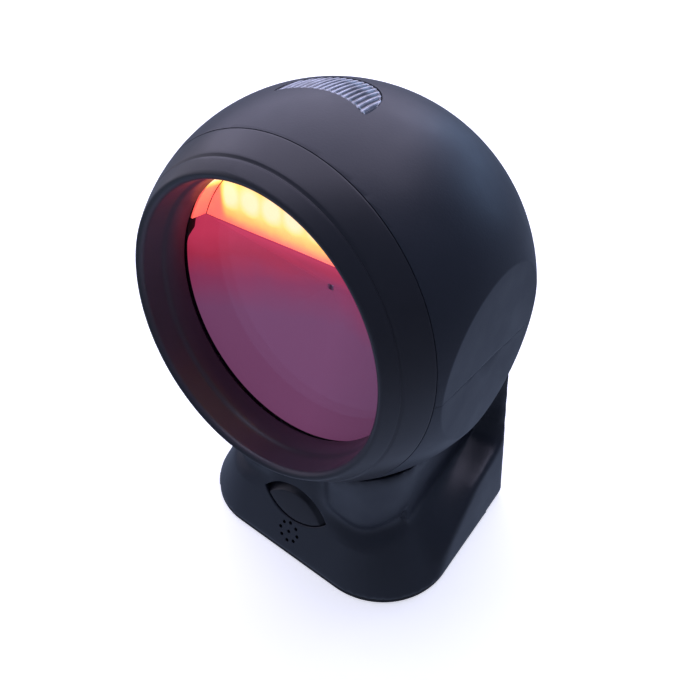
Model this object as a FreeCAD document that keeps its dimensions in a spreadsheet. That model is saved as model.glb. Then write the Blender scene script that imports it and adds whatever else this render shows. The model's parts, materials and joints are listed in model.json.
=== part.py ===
import FreeCAD, Part
import math
import os
import re

from FreeCAD import Placement, Rotation, Vector

# A hands-free desk scanner: a round head that tilts in the saddle of a weighted base.
# Millimetres, +Z up, front towards -Y. The origin lies on the table, below the head's centre.

SIZES = (
    # head
    ("ball_radius", 52.0, "outside radius of the round head"),
    ("saddle_height", 41.0, "lowest point of the head above the table"),
    ("rest_tilt", 5.0, "how far the window looks up at rest, degrees"),
    ("tilt_down", 20.0, "head's travel downwards from rest, degrees"),
    ("tilt_up", 10.0, "head's travel upwards from rest, degrees"),
    ("flat_x", 46.8, "middle plane to each flat side of the head"),
    ("head_wall", 2.4, "wall of the head shells"),
    ("seam_drop", 1.5, "seam of the two shells below the head's centre"),
    ("boss_radius", 4.4, "screw bosses of the head shells"),
    ("rear_boss_x", 22.0, "middle plane to each rear screw boss"),
    ("side_boss_y", 6.0, "head's centre back to the side screw bosses"),
    ("seam_screw_grip", 8.0, "lower shell between screw head and seam"),
    # bezel and window
    ("lip_radius", 37.1, "mouth of the bezel"),
    ("rim_width", 1.7, "rounded rim round the mouth"),
    ("bezel_depth", 10.1, "rim to the joint between bezel and shells"),
    ("recess_radius", 36.5, "recess behind the small step"),
    ("step_depth", 7.6, "rim to the small step"),
    ("recess_depth", 14.4, "rim to the front of the window"),
    ("bezel_wall", 2.2, "tube round the recess"),
    ("skirt_limit", 42.6, "largest radius of the bezel inside the shells"),
    ("groove_radius", 41.7, "fine groove round the bezel"),
    ("groove_size", 0.45, "radius of the groove's section"),
    ("window_screw_radius", 40.8, "circle of the four window screws"),
    ("window_boss", 2.2, "radius of the bosses for the window screws"),
    ("pane_radius", 38.5, "window pane"),
    ("pane_thick", 2.0, "window pane"),
    ("gasket_thick", 1.0, "soft ring behind the pane"),
    ("retainer_thick", 2.5, "ring that clamps the pane"),
    ("opening_radius", 34.5, "clear opening of gasket and retainer"),
    ("retainer_radius", 42.4, "outside of retainer and shroud flange"),
    ("flange_thick", 1.5, "flange of the light shroud"),
    # optics
    ("funnel_depth", 14.2, "shroud flange to the camera opening"),
    ("funnel_wall", 1.5, "wall of the shroud"),
    ("funnel_half", 32.5, "half width of the funnel's mouth"),
    ("funnel_top", 12.0, "top of the funnel's mouth above the axis"),
    ("camera_half", 7.0, "half width of the camera opening"),
    ("pillar_radius", 2.4, "pillars from the flange to the main board"),
    ("pillar_up", 9.0, "upper pillars above the axis"),
    ("board_y", 18.0, "head's centre back to the main board"),
    ("board_thick", 1.6, "all circuit boards"),
    ("main_board_radius", 42.0, "rounded sides of the main board"),
    ("main_board_top", 22.0, "main board above the axis"),
    ("main_board_foot", 31.0, "main board below the axis"),
    ("lamp_floor", 13.7, "lower edge of the lamp above the axis"),
    ("diffuser_radius", 35.5, "round top of the lamp's diffuser"),
    ("diffuser_thick", 1.6, "lamp's diffuser"),
    ("led_gap", 1.4, "diffuser to LEDs"),
    ("led_size", 2.8, "square LED package"),
    ("led_high", 1.2, "height of an LED package"),
    ("led_pitch", 7.2, "spacing of the LEDs in a row"),
    ("led_row", 22.0, "lower LED row above the axis"),
    ("led_row_step", 6.5, "spacing of the two LED rows"),
    ("lamp_board_radius", 40.0, "round top of the lamp's board"),
    ("lamp_post", 1.8, "radius of the posts that carry the lamp board"),
    ("camera_depth", 8.0, "camera housing"),
    ("barrel_radius", 5.2, "lens barrel"),
    ("barrel_reach", 2.5, "lens barrel in front of the housing"),
    ("camera_board_x", 17.0, "half width of the camera board"),
    ("camera_board_z", 12.0, "half height of the camera board"),
    # indicator on top of the head
    ("crescent_y", -8.0, "centre of the crescent's round back"),
    ("crescent_radius", 12.6, "crescent's round back"),
    ("hollow_y", -36.5, "centre of the crescent's hollow front"),
    ("hollow_radius", 29.2, "crescent's hollow front"),
    ("light_board_z", 42.2, "underside of the indicator board above the axis"),
    ("light_board_x", 15.0, "half width of the indicator board"),
    ("light_board_front", 13.0, "indicator board in front of the head's centre"),
    ("light_board_rear", 12.0, "indicator board behind the head's centre"),
    ("light_post", 1.8, "radius of the posts that carry the indicator board"),
    # clamp between head and base
    ("bolt_radius", 2.0, "clamp bolt"),
    ("bolt_head", 3.6, "radius of the clamp bolt's head"),
    ("bolt_head_high", 3.6, "height of the clamp bolt's head"),
    ("pad_thick", 1.2, "friction pad"),
    ("pad_radius", 13.5, "friction pad"),
    ("shoe_thick", 2.5, "clamp shoe inside the head"),
    ("shoe_x", 11.0, "half width of the clamp shoe"),
    ("shoe_y", 6.5, "half depth of the clamp shoe"),
    ("washer_thick", 0.6, "washer on the clamp shoe"),
    ("nut_high", 2.2, "clamp nut"),
    ("nut_radius", 4.0, "clamp nut across its corners"),
    ("spring_high", 1.2, "one spring washer"),
    ("harness_x", 17.0, "middle plane to the wire harness"),
    ("harness_radius", 1.5, "wire harness"),
    # base
    ("base_front", 28.4, "head's axis to the front edge of the base"),
    ("base_rear", 41.2, "head's axis to the rear wall"),
    ("base_half_front", 46.9, "half width of the base at the front"),
    ("base_half_rear", 45.6, "half width of the base at the rear"),
    ("corner_front", 25.6, "front corners of the base"),
    ("corner_rear", 4.0, "rear corners of the base"),
    ("front_lean", 19.0, "front wall leans back, degrees"),
    ("side_lean", 6.6, "side walls lean in, degrees"),
    ("base_wall", 2.5, "walls of the base"),
    ("waist_height", 24.2, "foot of the neck above the table"),
    ("waist_front", 33.8, "half width of the neck's foot at the front"),
    ("waist_rear", 29.6, "half width of the neck's foot at the rear"),
    ("waist_corner", 13.0, "front corners of the neck"),
    ("cradle_flare", 4.2, "how much wider the neck is at the cradle"),
    ("back_height", 57.0, "top of the rear wall above the table"),
    ("back_wall", 3.2, "rear wall above the scoops"),
    ("boss_depth", 9.0, "bolt boss below the cradle"),
    # button and beeper, measured along the front wall
    ("button_up", 21.3, "button's centre up the front wall"),
    ("button_half", 12.5, "half length of the button"),
    ("button_rise", 6.0, "half height of the button"),
    ("button_sunk", 0.8, "button face below the front wall"),
    ("button_thick", 2.0, "button plate"),
    ("button_travel", 0.8, "how far the button goes in"),
    ("flange_width", 1.2, "edge that holds the button in"),
    ("beeper_up", 10.2, "centre of the sound holes up the front wall"),
    ("sound_ring", 3.5, "circle of the eight sound holes"),
    ("sound_hole", 0.6, "radius of a sound hole"),
    ("key_board_in", 10.0, "front wall to the button board"),
    # bottom
    ("mat_high", 0.8, "rubber mat below the bottom plate"),
    ("mat_sunk", 0.6, "rubber mat inside its recess"),
    ("mat_x", 36.0, "half width of the rubber mat"),
    ("mat_corner", 7.0, "corners of the rubber mat"),
    ("plate_edge", 1.2, "visible edge of the bottom plate"),
    ("plate_step", 1.6, "part of the bottom plate inside the shell"),
    ("insert_spacing", 50.0, "two threaded inserts in the bottom"),
    ("insert_hole", 1.25, "radius of the M3 insert's thread"),
    ("insert_radius", 2.4, "outside of an insert"),
    ("insert_y", 2.0, "head's axis back to the inserts"),
    ("toe_boss_in", 11.4, "front edge of the base to the front case screws"),
    ("toe_boss_x", 26.0, "middle plane to the front case screws"),
    ("heel_boss_in", 6.6, "rear wall to the rear case screws"),
    ("heel_boss_side", 7.1, "side of the base to the rear case screws"),
    ("case_boss", 3.4, "radius of the bosses for the case screws"),
    ("ballast_x", 32.0, "half width of the ballast"),
    ("ballast_front", 11.5, "ballast in front of the head's axis"),
    ("ballast_rear", 16.0, "ballast behind the head's axis"),
    ("ballast_high", 6.0, "ballast"),
    ("port_board_z", 12.0, "underside of the port board above the table"),
    ("port_board_x", 24.0, "half width of the port board"),
    ("port_board_y", 17.0, "head's axis to the port board's front edge"),
    ("port_post", 2.6, "radius of the posts that carry the port board"),
    ("socket_half", 7.75, "half width of the cable socket"),
    ("socket_high", 12.0, "cable socket"),
    ("socket_deep", 16.8, "cable socket"),
    # clearances
    ("slip", 0.05, "running fit of a screw or pin, on the radius"),
    ("gap", 0.3, "between curved faces of head and base"),
    ("fit", 0.15, "between loose covers"),
)

# Sizes that follow from the ones above.
PLACES = (
    ("ball_height", "saddle_height + ball_radius"),
    ("inner_radius", "ball_radius - head_wall"),
    ("inner_flat", "flat_x - head_wall"),
    ("rim_radius", "lip_radius + rim_width"),
    ("rim_y", "-sqrt(ball_radius^2 - rim_radius^2)"),
    ("parting_y", "rim_y + bezel_depth"),
    ("skirt_radius", "min(skirt_limit; sqrt(inner_radius^2 - parting_y^2) - gap)"),
    ("groove_y", "-sqrt(ball_radius^2 - groove_radius^2)"),
    ("pane_y", "rim_y + recess_depth"),
    ("gasket_y", "pane_y + pane_thick"),
    ("retainer_y", "gasket_y + gasket_thick"),
    ("flange_y", "retainer_y + retainer_thick"),
    ("lamp_y", "flange_y + flange_thick"),
    ("led_face_y", "lamp_y + diffuser_thick + led_gap"),
    ("lamp_board_y", "led_face_y + led_high"),
    ("camera_y", "lamp_y + funnel_depth"),
    ("camera_board_y", "camera_y + camera_depth"),
    ("side_boss_x", "flat_x - head_wall - boss_radius + 1"),
    ("rear_boss_y", "sqrt((inner_radius - boss_radius + 1)^2 - rear_boss_x^2)"),
    ("seam_head_z", "-seam_drop - seam_screw_grip"),
    ("notch_z", "retainer_radius - 3.4"),
    ("seat_radius", "ball_radius + gap + pad_thick"),
    ("shoe_top", "ball_height - inner_radius + gap + shoe_thick"),
    ("washer_z", "shoe_top + gap"),
    ("nut_z", "washer_z + washer_thick"),
    ("bolt_top", "nut_z + nut_high + 0.3"),
    ("boss_z", "ball_height - seat_radius - base_wall - boss_depth"),
    ("bolt_head_z", "boss_z - 2 * spring_high"),
    ("shell_floor", "mat_high + plate_edge"),
    ("plate_top", "shell_floor + plate_step"),
    ("button_bow", "(button_half^2 + button_rise^2) / (2 * button_rise)"),
    ("key_y", "button_sunk + button_thick"),
    ("key_back", "base_wall + gap + flange_width"),
    ("key_post_x", "button_half + 2.8"),
    ("key_board_low", "button_up - 12.3"),
    ("key_board_high", "button_up + 4.7"),
    ("light_post_x", "light_board_x - 2.5"),
    ("light_post_rear", "light_board_rear - 3"),
    ("light_post_front", "-light_board_front + 1.8"),
    ("pillar_x", "opening_radius - 0.5"),
    ("pillar_low", "0.7071 * (window_screw_radius - 4.6)"),
    ("lamp_post_x", "0.866 * (lamp_board_radius - 2.2)"),
    ("lamp_post_z", "0.5 * (lamp_board_radius - 2.2)"),
    ("camera_screw_x", "camera_board_x - 3.5"),
    ("camera_screw_z", "camera_board_z - 3.5"),
    ("toe_boss_y", "-base_front + toe_boss_in"),
    ("heel_boss_x", "base_half_rear - heel_boss_side"),
    ("heel_boss_y", "base_rear - heel_boss_in"),
    ("mat_front", "toe_boss_y + 4"),
    ("mat_rear", "heel_boss_y - 3.6"),
    ("ballast_top", "plate_top + ballast_high"),
    ("port_post_x", "port_board_x - 4"),
    ("port_post_front", "port_board_y + 3"),
    ("port_post_rear", "base_rear - base_wall - 5.2"),
    ("port_top", "port_board_z + board_thick"),
)

SCREW = 0.9         # radius of the small screws
SCREW_HEAD = 1.8    # radius of their heads
HEAD_HIGH = 1.3     # height of their heads
BIG_SCREW = 1.4     # radius of the case screws
BIG_HEAD = 2.6      # radius of their heads
BIG_HIGH = 1.8      # height of their heads

doc = FreeCAD.newDocument("desk_scanner")
sheet = doc.addObject("Spreadsheet::Sheet", "Sizes")
for row, (alias, amount, note) in enumerate(SIZES, start=1):
    sheet.set(f"A{row}", alias)
    sheet.set(f"B{row}", str(amount))
    sheet.set(f"C{row}", note)
    sheet.setAlias(f"B{row}", alias)
doc.recompute()

HOLDER = {alias: "Sizes" for alias, _, _ in SIZES}
HOLDER.update({alias: "Places" for alias, _ in PLACES})


def linked(text):
    """An expression with every size's name replaced by its place in the document."""
    def full(match):
        word = match.group(0)
        return f"{HOLDER[word]}.{word}" if word in HOLDER else word
    return re.sub(r"[a-z_]+", full, str(text))


places = doc.addObject("App::VarSet", "Places")
for alias, rule in PLACES:
    places.addProperty("App::PropertyFloat", alias)
    places.setExpression(alias, linked(rule))
    doc.recompute()


def size(alias):
    """The present value of a size."""
    return float(getattr(sheet if HOLDER[alias] == "Sizes" else places, alias))


# ---------------------------------------------------------------- building blocks

AXIS_TURN = {
    "Z": Rotation(),
    "Y": Rotation(Vector(1, 0, 0), -90),
    "X": Rotation(Vector(0, 1, 0), 90),
}
BALL_TURN = Rotation(Vector(0, -1, 0), Vector(0, 0, -1), Vector(1, 0, 0), "XYZ")
nodes = []


def new(kind, turn=None, at=("0", "0", "0"), **rules):
    """A document object with its place and its properties bound to expressions."""
    obj = doc.addObject(kind, "Piece")
    obj.Placement = Placement(Vector(), turn or Rotation())
    for letter, rule in zip("xyz", at):
        obj.setExpression("Placement.Base." + letter, linked(rule))
    for name, rule in rules.items():
        obj.setExpression(name, linked(rule))
    return obj


def box(x, y, z):
    """A box from three (low, high) pairs."""
    lengths = {name: f"({high}) - ({low})" for name, (low, high)
               in zip(("Length", "Width", "Height"), (x, y, z))}
    return new("Part::Box", at=(x[0], y[0], z[0]), **lengths)


def rod(radius, low, high, at=("0", "0"), axis="Z"):
    """A cylinder along an axis; at gives its place on the other two axes in X, Y, Z order."""
    spot = list(at)
    spot.insert("XYZ".index(axis), low)
    return new("Part::Cylinder", AXIS_TURN[axis], spot, Radius=radius, Height=f"({high}) - ({low})")


def ball(radius, at=("0", "0", "0")):
    """A sphere whose poles and seam lie where the flats and the mouth cut them off."""
    return new("Part::Sphere", BALL_TURN, at, Radius=radius)


def hexagon(radius, low, high):
    return new("Part::Prism", at=("0", "0", low), Circumradius=radius, Height=f"({high}) - ({low})")


def fuse(*parts):
    if len(parts) == 1:
        return parts[0]
    obj = doc.addObject("Part::MultiFuse", "Joined")
    obj.Shapes = list(parts)
    return obj


def cut(base, *tools):
    obj = doc.addObject("Part::Cut", "Cut")
    obj.Base = base
    obj.Tool = fuse(*tools)
    return obj


def common(one, other):
    obj = doc.addObject("Part::Common", "Shared")
    obj.Base = one
    obj.Tool = other
    return obj


def group(parts):
    """Several equal solids that share a node."""
    obj = doc.addObject("Part::Compound", "Group")
    obj.Links = list(parts)
    return obj


def ring(outer, inner, low, high, axis="Y"):
    return cut(rod(outer, low, high, axis=axis), rod(inner, f"{low} - 1", f"{high} + 1", axis=axis))


def mirrored(x):
    """A place and its twin on the other side of the middle plane."""
    return (x, f"-({x})")


def in_world(obj):
    """The base's own frame, on the table."""


def in_head(obj):
    """The head's frame: its centre, looking up by the rest tilt."""
    obj.Placement = Placement(Vector(), Rotation(Vector(1, 0, 0), -size("rest_tilt")))
    obj.setExpression("Placement.Base.z", linked("ball_height"))
    obj.setExpression("Placement.Rotation.Angle", linked("rest_tilt * -1"))


def in_front_wall(obj):
    """The front wall's frame: +Y goes through the wall, +Z climbs it."""
    obj.Placement = Placement(Vector(), Rotation(Vector(1, 0, 0), -size("front_lean")))
    obj.setExpression("Placement.Base.y", linked("-base_front"))
    obj.setExpression("Placement.Rotation.Angle", linked("front_lean * -1"))


def node(name, obj, frame=in_world):
    """The finished sub-part: its label names its file, its placement its frame."""
    if obj.TypeId in ("Part::Box", "Part::Cylinder"):
        obj = group([obj])
    obj.Label = name
    frame(obj)
    nodes.append(obj)
    return obj


def screws(spots, seat, tip, axis, radius=SCREW, head=SCREW_HEAD, high=HEAD_HIGH, upside=False):
    """Screws whose heads lie on seat and whose shanks end at tip; upside has them driven from below."""
    parts = []
    for spot in spots:
        head_span = (f"{seat} - {high}", seat) if upside else (seat, f"{seat} + {high}")
        shank_span = (seat, tip) if upside else (tip, seat)
        parts.append(fuse(rod(head, *head_span, at=spot, axis=axis),
                          rod(radius, *shank_span, at=spot, axis=axis)))
    return group(parts)


# ---------------------------------------------------------------- head shells

SEAM_BOSSES = [(x, "side_boss_y") for x in mirrored("side_boss_x")]
SEAM_BOSSES += [(x, "rear_boss_y") for x in mirrored("rear_boss_x")]


def crescent(grow):
    """The upright prism of the indicator's outline."""
    return cut(rod(f"crescent_radius + {grow}", "0", "ball_radius + 1", at=("0", "crescent_y")),
               rod(f"hollow_radius - {grow}", "-1", "ball_radius + 2", at=("0", "hollow_y")))


def shell_half(low, high):
    """One half of the round head's wall, between two heights, behind the bezel."""
    outside = common(ball("ball_radius"),
                     box(("-flat_x", "flat_x"), ("parting_y", "ball_radius + 1"), (low, high)))
    inside = common(ball("inner_radius"),
                    box(("-inner_flat", "inner_flat"), ("parting_y - 1", "ball_radius"),
                        (f"{low} - 1", f"{high} + 1")))
    return cut(outside, inside)


LIGHT_POSTS = [(x, "light_post_rear") for x in mirrored("light_post_x")]
LIGHT_POSTS += [("0", "light_post_front")]


def head_upper_shell():
    bosses = [rod("boss_radius", "-seam_drop", "5.5", at=spot) for spot in SEAM_BOSSES]
    posts = [common(rod("light_post", "light_board_z + board_thick", "ball_radius", at=spot),
                    ball("ball_radius - 1")) for spot in LIGHT_POSTS]
    pilots = [rod(f"{BIG_SCREW} + slip", "-seam_drop - 1", "4.5", at=spot) for spot in SEAM_BOSSES]
    holes = [rod(f"{SCREW} + slip", "light_board_z", "light_board_z + board_thick + 2.2", at=spot)
             for spot in LIGHT_POSTS]
    wall = fuse(shell_half("-seam_drop", "ball_radius + 1"), *bosses, *posts)
    node("head_upper_shell", cut(wall, crescent("fit"), *pilots, *holes), in_head)


def tilt_slot(x, half_width, radius):
    """Clears an upright pin at x over the whole tilt, in the bottom of the lower shell."""
    ends = [f"ball_radius * sin(rest_tilt {turn}) {side} ({radius} + gap)"
            for turn, side in (("- tilt_down", "-"), ("+ tilt_up", "+"))]
    return box((f"{x} - ({half_width})", f"{x} + {half_width}"), ends,
               ("-ball_radius - 1", "-ball_radius / 2"))


def head_lower_shell():
    def bossed(spot):
        return common(rod("boss_radius", "-ball_radius", "-seam_drop", at=spot), ball("ball_radius"))

    wells = [rod(f"{BIG_HEAD} + fit", "-ball_radius", "seam_head_z", at=spot) for spot in SEAM_BOSSES]
    bores = [rod(f"{BIG_SCREW} + fit", "seam_head_z - 1", "-seam_drop + 1", at=spot)
             for spot in SEAM_BOSSES]
    wall = fuse(shell_half("-ball_radius - 1", "-seam_drop"), *[bossed(spot) for spot in SEAM_BOSSES])
    slots = (tilt_slot("0", "bolt_radius + gap", "bolt_radius"),
             tilt_slot("harness_x", "2 * harness_radius", "harness_radius"))
    node("head_lower_shell", cut(wall, *wells, *bores, *slots), in_head)


def head_shell_screws():
    node("head_shell_screws",
         screws(SEAM_BOSSES, "seam_head_z", "4", "Z", BIG_SCREW, BIG_HEAD, BIG_HIGH, upside=True),
         in_head)


# ---------------------------------------------------------------- bezel and window

DIAGONALS = [(f"{x} * window_screw_radius", f"{z} * window_screw_radius")
             for x in ("0.7071", "-0.7071") for z in ("0.7071", "-0.7071")]


def front_bezel():
    slab = common(ball("ball_radius"), box(("-ball_radius", "ball_radius"), ("rim_y", "parting_y"),
                                           ("-ball_radius", "ball_radius")))
    skirt = rod("skirt_radius", "parting_y - 1", "pane_y", axis="Y")
    pocket = ring("window_screw_radius", "recess_radius + bezel_wall", "rim_y + 6", "pane_y + 1")
    bosses = [rod("window_boss", "rim_y + 6", "retainer_y", at=spot, axis="Y") for spot in DIAGONALS]
    recess = rod("recess_radius", "rim_y - 1", "pane_y + 1", axis="Y")
    mouth = rod("lip_radius", "rim_y - 1", "rim_y + step_depth", axis="Y")
    rim = new("Part::Cone", AXIS_TURN["Y"], ("0", "rim_y - 0.1", "0"), Radius1="rim_radius - 0.2",
              Radius2="lip_radius - 0.1", Height="rim_width")
    groove = new("Part::Torus", AXIS_TURN["Y"], ("0", "groove_y", "0"), Radius1="groove_radius",
                 Radius2="groove_size")
    pilots = [rod(f"{SCREW} + slip", "rim_y + 10", "retainer_y + 1", at=spot, axis="Y")
              for spot in DIAGONALS]
    ringed = fuse(cut(fuse(slab, skirt), pocket), *bosses)
    node("front_bezel", cut(ringed, recess, mouth, rim, groove, *pilots), in_head)


def window():
    node("window_pane", rod("pane_radius", "pane_y", "gasket_y", axis="Y"), in_head)
    node("window_gasket", ring("pane_radius", "opening_radius", "gasket_y", "retainer_y"), in_head)
    holes = [rod(f"{SCREW} + fit", "retainer_y - 1", "lamp_y + 1", at=spot, axis="Y")
             for spot in DIAGONALS]
    clamp = ring("retainer_radius", "opening_radius", "retainer_y", "flange_y")
    node("window_retainer", cut(clamp, clamp_notch(), *holes), in_head)
    node("window_screws", screws(DIAGONALS, "lamp_y", "rim_y + 11", "Y"), in_head)


def clamp_notch():
    """A flat on the lowest point of the rings, which lets the clamp bolt's end pass."""
    return box(("-6", "6"), ("retainer_y - 1", "lamp_y + 1"), ("-ball_radius", "-notch_z"))


# ---------------------------------------------------------------- optics

PILLARS = [(x, "pillar_up") for x in mirrored("pillar_x")]
PILLARS += [(x, "-pillar_low") for x in mirrored("pillar_low")]
LAMP_POSTS = [(x, "lamp_post_z") for x in mirrored("lamp_post_x")]


def wedge(front_half, front_top, back_half, low, high):
    """A four-sided funnel along Y from a wide front to a narrow back."""
    return new("Part::Wedge", Xmin=f"-({front_half})", Xmax=front_half, Zmin=f"-({front_half})",
               Zmax=front_top, X2min=f"-({back_half})", X2max=back_half, Z2min=f"-({back_half})",
               Z2max=back_half, Ymin=low, Ymax=high)


def light_shroud():
    outside = common(wedge("funnel_half + funnel_wall", "funnel_top + funnel_wall",
                           "camera_half + funnel_wall", "lamp_y", "camera_y"),
                     rod("funnel_half + 4.5", "lamp_y", "camera_y", axis="Y"))
    inside = common(wedge("funnel_half", "funnel_top", "camera_half", "lamp_y", "camera_y"),
                    rod("funnel_half + 3", "lamp_y", "camera_y + 1", axis="Y"))
    flange = ring("retainer_radius", "opening_radius - 1", "flange_y", "lamp_y")
    pillars = [rod("pillar_radius", "lamp_y - 1", "board_y", at=spot, axis="Y") for spot in PILLARS]
    posts = [rod("lamp_post", "lamp_y - 1", "lamp_board_y", at=spot, axis="Y") for spot in LAMP_POSTS]
    holes = [rod(f"{SCREW} + fit", "flange_y - 1", "lamp_y + 1", at=spot, axis="Y")
             for spot in DIAGONALS]
    holes += [rod(f"{SCREW} + slip", "board_y - 7", "board_y + 1", at=spot, axis="Y")
              for spot in PILLARS]
    holes += [rod(f"{SCREW} + slip", "lamp_board_y - 3.5", "lamp_board_y + 1", at=spot, axis="Y")
              for spot in LAMP_POSTS]
    funnel = cut(fuse(flange, cut(outside, inside), *pillars, *posts),
                 rod("opening_radius - 1", "flange_y - 1", "lamp_y", axis="Y"), inside)
    node("light_shroud", cut(funnel, clamp_notch(), *holes), in_head)


def segment(radius, low, high):
    """A plate along Y with a round top and a straight lower edge."""
    return common(rod(radius, low, high, axis="Y"),
                  box(("-ball_radius", "ball_radius"), (f"{low} - 1", f"{high} + 1"),
                      ("lamp_floor", "ball_radius")))


def lamp():
    node("lamp_diffuser", segment("diffuser_radius", "lamp_y", "lamp_y + diffuser_thick"), in_head)
    leds = []
    for row, count in ((0, 8), (1, 6)):
        for column in range(count):
            x = f"{column - (count - 1) / 2} * led_pitch"
            z = f"led_row + {row} * led_row_step"
            leds.append(box((f"{x} - led_size / 2", f"{x} + led_size / 2"),
                            ("led_face_y", "lamp_board_y"),
                            (f"{z} - led_size / 2", f"{z} + led_size / 2")))
    node("lamp_leds", group(leds), in_head)
    holes = [rod(f"{SCREW} + fit", "lamp_board_y - 1", "lamp_board_y + 3", at=spot, axis="Y")
             for spot in LAMP_POSTS]
    plate = segment("lamp_board_radius", "lamp_board_y", "lamp_board_y + board_thick")
    node("lamp_board", cut(plate, *holes), in_head)
    node("lamp_screws", screws(LAMP_POSTS, "lamp_board_y + board_thick", "lamp_board_y - 3", "Y"),
         in_head)


CAMERA_SCREWS = [(x, z) for x in mirrored("camera_screw_x") for z in mirrored("camera_screw_z")]


def camera():
    half = "camera_half + funnel_wall"
    ears = box(mirrored("camera_board_x - 1")[::-1], ("camera_board_y - 3", "camera_board_y"),
               mirrored("camera_board_z - 1")[::-1])
    housing = fuse(box((f"-({half})", half), ("camera_y", "camera_board_y"), (f"-({half})", half)), ears)
    bore = rod("barrel_radius + slip", "camera_y - 1", "camera_board_y - 1.5", axis="Y")
    holes = [rod(f"{SCREW} + slip", "camera_board_y - 2.5", "camera_board_y + 1", at=spot, axis="Y")
             for spot in CAMERA_SCREWS]
    node("camera_housing", cut(housing, bore, *holes), in_head)
    front = "camera_y - barrel_reach"
    barrel = cut(rod("barrel_radius", front, "camera_board_y - 2", axis="Y"),
                 rod("3.6", f"{front} - 1", "camera_board_y - 1", axis="Y"))
    node("lens_barrel", barrel, in_head)
    node("camera_lens", rod("3.6 - slip", f"{front} + 0.6", f"{front} + 2.4", axis="Y"), in_head)
    plate = box(("-camera_board_x", "camera_board_x"), ("camera_board_y", "camera_board_y + board_thick"),
                ("-camera_board_z", "camera_board_z"))
    passes = [rod(f"{SCREW} + fit", "camera_board_y - 1", "camera_board_y + 3", at=spot, axis="Y")
              for spot in CAMERA_SCREWS]
    node("camera_board", cut(plate, *passes), in_head)
    node("camera_screws", screws(CAMERA_SCREWS, "camera_board_y + board_thick",
                                 "camera_board_y - 2", "Y"), in_head)


def main_board():
    plate = common(rod("main_board_radius", "board_y", "board_y + board_thick", axis="Y"),
                   box(("-ball_radius", "ball_radius"), ("board_y - 1", "board_y + 3"),
                       ("-main_board_foot", "main_board_top")))
    holes = [rod(f"{SCREW} + fit", "board_y - 1", "board_y + 3", at=spot, axis="Y") for spot in PILLARS]
    node("main_board", cut(plate, *holes), in_head)
    node("main_board_screws", screws(PILLARS, "board_y + board_thick", "board_y - 6", "Y"), in_head)
    back = "board_y + board_thick"
    chips = [box((x - half, x + half), (back, f"{back} + {high}"), (z - half, z + half))
             for x, z, half, high in ((0, 0, 8.5, 1.4), (21, -6, 5.5, 1.2), (-20, 4, 4.5, 1.8))]
    node("main_board_chips", group(chips), in_head)
    node("board_connector",
         box(("harness_x - 4", "harness_x + 4"), ("board_y - 4.5", "board_y"),
             ("1 - main_board_foot", "7 - main_board_foot")), in_head)


# ---------------------------------------------------------------- indicator

def indicator():
    def layer(outer, inner, grow):
        return common(cut(ball(outer), ball(inner)), crescent(grow))

    lens = fuse(layer("ball_radius", "inner_radius - fit", "0"),
                layer("inner_radius - fit", "inner_radius - 1.2", "1.4"))
    node("indicator_lens", lens, in_head)
    top = "light_board_z + board_thick"
    holes = [rod(f"{SCREW} + fit", "light_board_z - 1", f"{top} + 1", at=spot) for spot in LIGHT_POSTS]
    plate = box(("-light_board_x", "light_board_x"), ("-light_board_front", "light_board_rear"),
                ("light_board_z", top))
    node("indicator_board", cut(plate, *holes), in_head)
    leds = [box((f"{x} - 1.6", f"{x} + 1.6"), (f"{y} - 1", f"{y} + 1"), (top, f"{top} + 1"))
            for x, y in ((-7, -4), (0, -2), (7, -4))]
    node("indicator_leds", group(leds), in_head)
    node("indicator_screws", screws(LIGHT_POSTS, "light_board_z", f"{top} + 2", "Z", upside=True),
         in_head)


# ---------------------------------------------------------------- clamp

CENTRE = ("0", "0", "ball_height")


def cap(outer, inner, low, high, window_shape):
    """A piece of a thick ball round the head's centre, cut out by an upright shape."""
    return common(cut(ball(outer, CENTRE), ball(inner, CENTRE)), window_shape)


def clamp():
    bolt_hole = rod("bolt_radius + fit", "saddle_height - 9", "saddle_height + 12")
    pad = cap("seat_radius - slip", "ball_radius + gap", "0", "ball_height",
              rod("pad_radius", "saddle_height - 5", "saddle_height + 9"))
    node("saddle_pad", cut(pad, bolt_hole))
    shoe = cap("inner_radius - gap", "inner_radius - gap - shoe_thick", "0", "ball_height",
               box(("-shoe_x", "shoe_x"), ("-shoe_y", "shoe_y"), ("saddle_height", "saddle_height + 12")))
    node("clamp_shoe", cut(shoe, rod("bolt_radius + fit", "saddle_height - 1", "saddle_height + 12")))
    node("clamp_washer", ring("nut_radius + 0.5", "bolt_radius + slip", "washer_z", "nut_z", axis="Z"))
    node("clamp_nut", cut(hexagon("nut_radius", "nut_z", "nut_z + nut_high"),
                          rod("bolt_radius + slip", "nut_z - 1", "nut_z + nut_high + 1")))
    low = "bolt_head_z - bolt_head_high"
    bolt = fuse(rod("bolt_head", low, "bolt_head_z"), rod("bolt_radius", "bolt_head_z", "bolt_top"))
    node("clamp_bolt", cut(bolt, hexagon("1.7", f"{low} - 1", f"{low} + 2")))
    springs = []
    for turn, low in (("narrow_up", "bolt_head_z"), ("narrow_down", "bolt_head_z + spring_high")):
        wide, narrow = ("4.2", "3") if turn == "narrow_up" else ("3", "4.2")
        disc = new("Part::Cone", at=("0", "0", low), Radius1=wide, Radius2=narrow, Height="spring_high")
        springs.append(cut(disc, rod("bolt_radius + slip", f"{low} - 1", f"{low} + 3")))
    node("spring_washers", group(springs))


# ---------------------------------------------------------------- base shell

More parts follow.
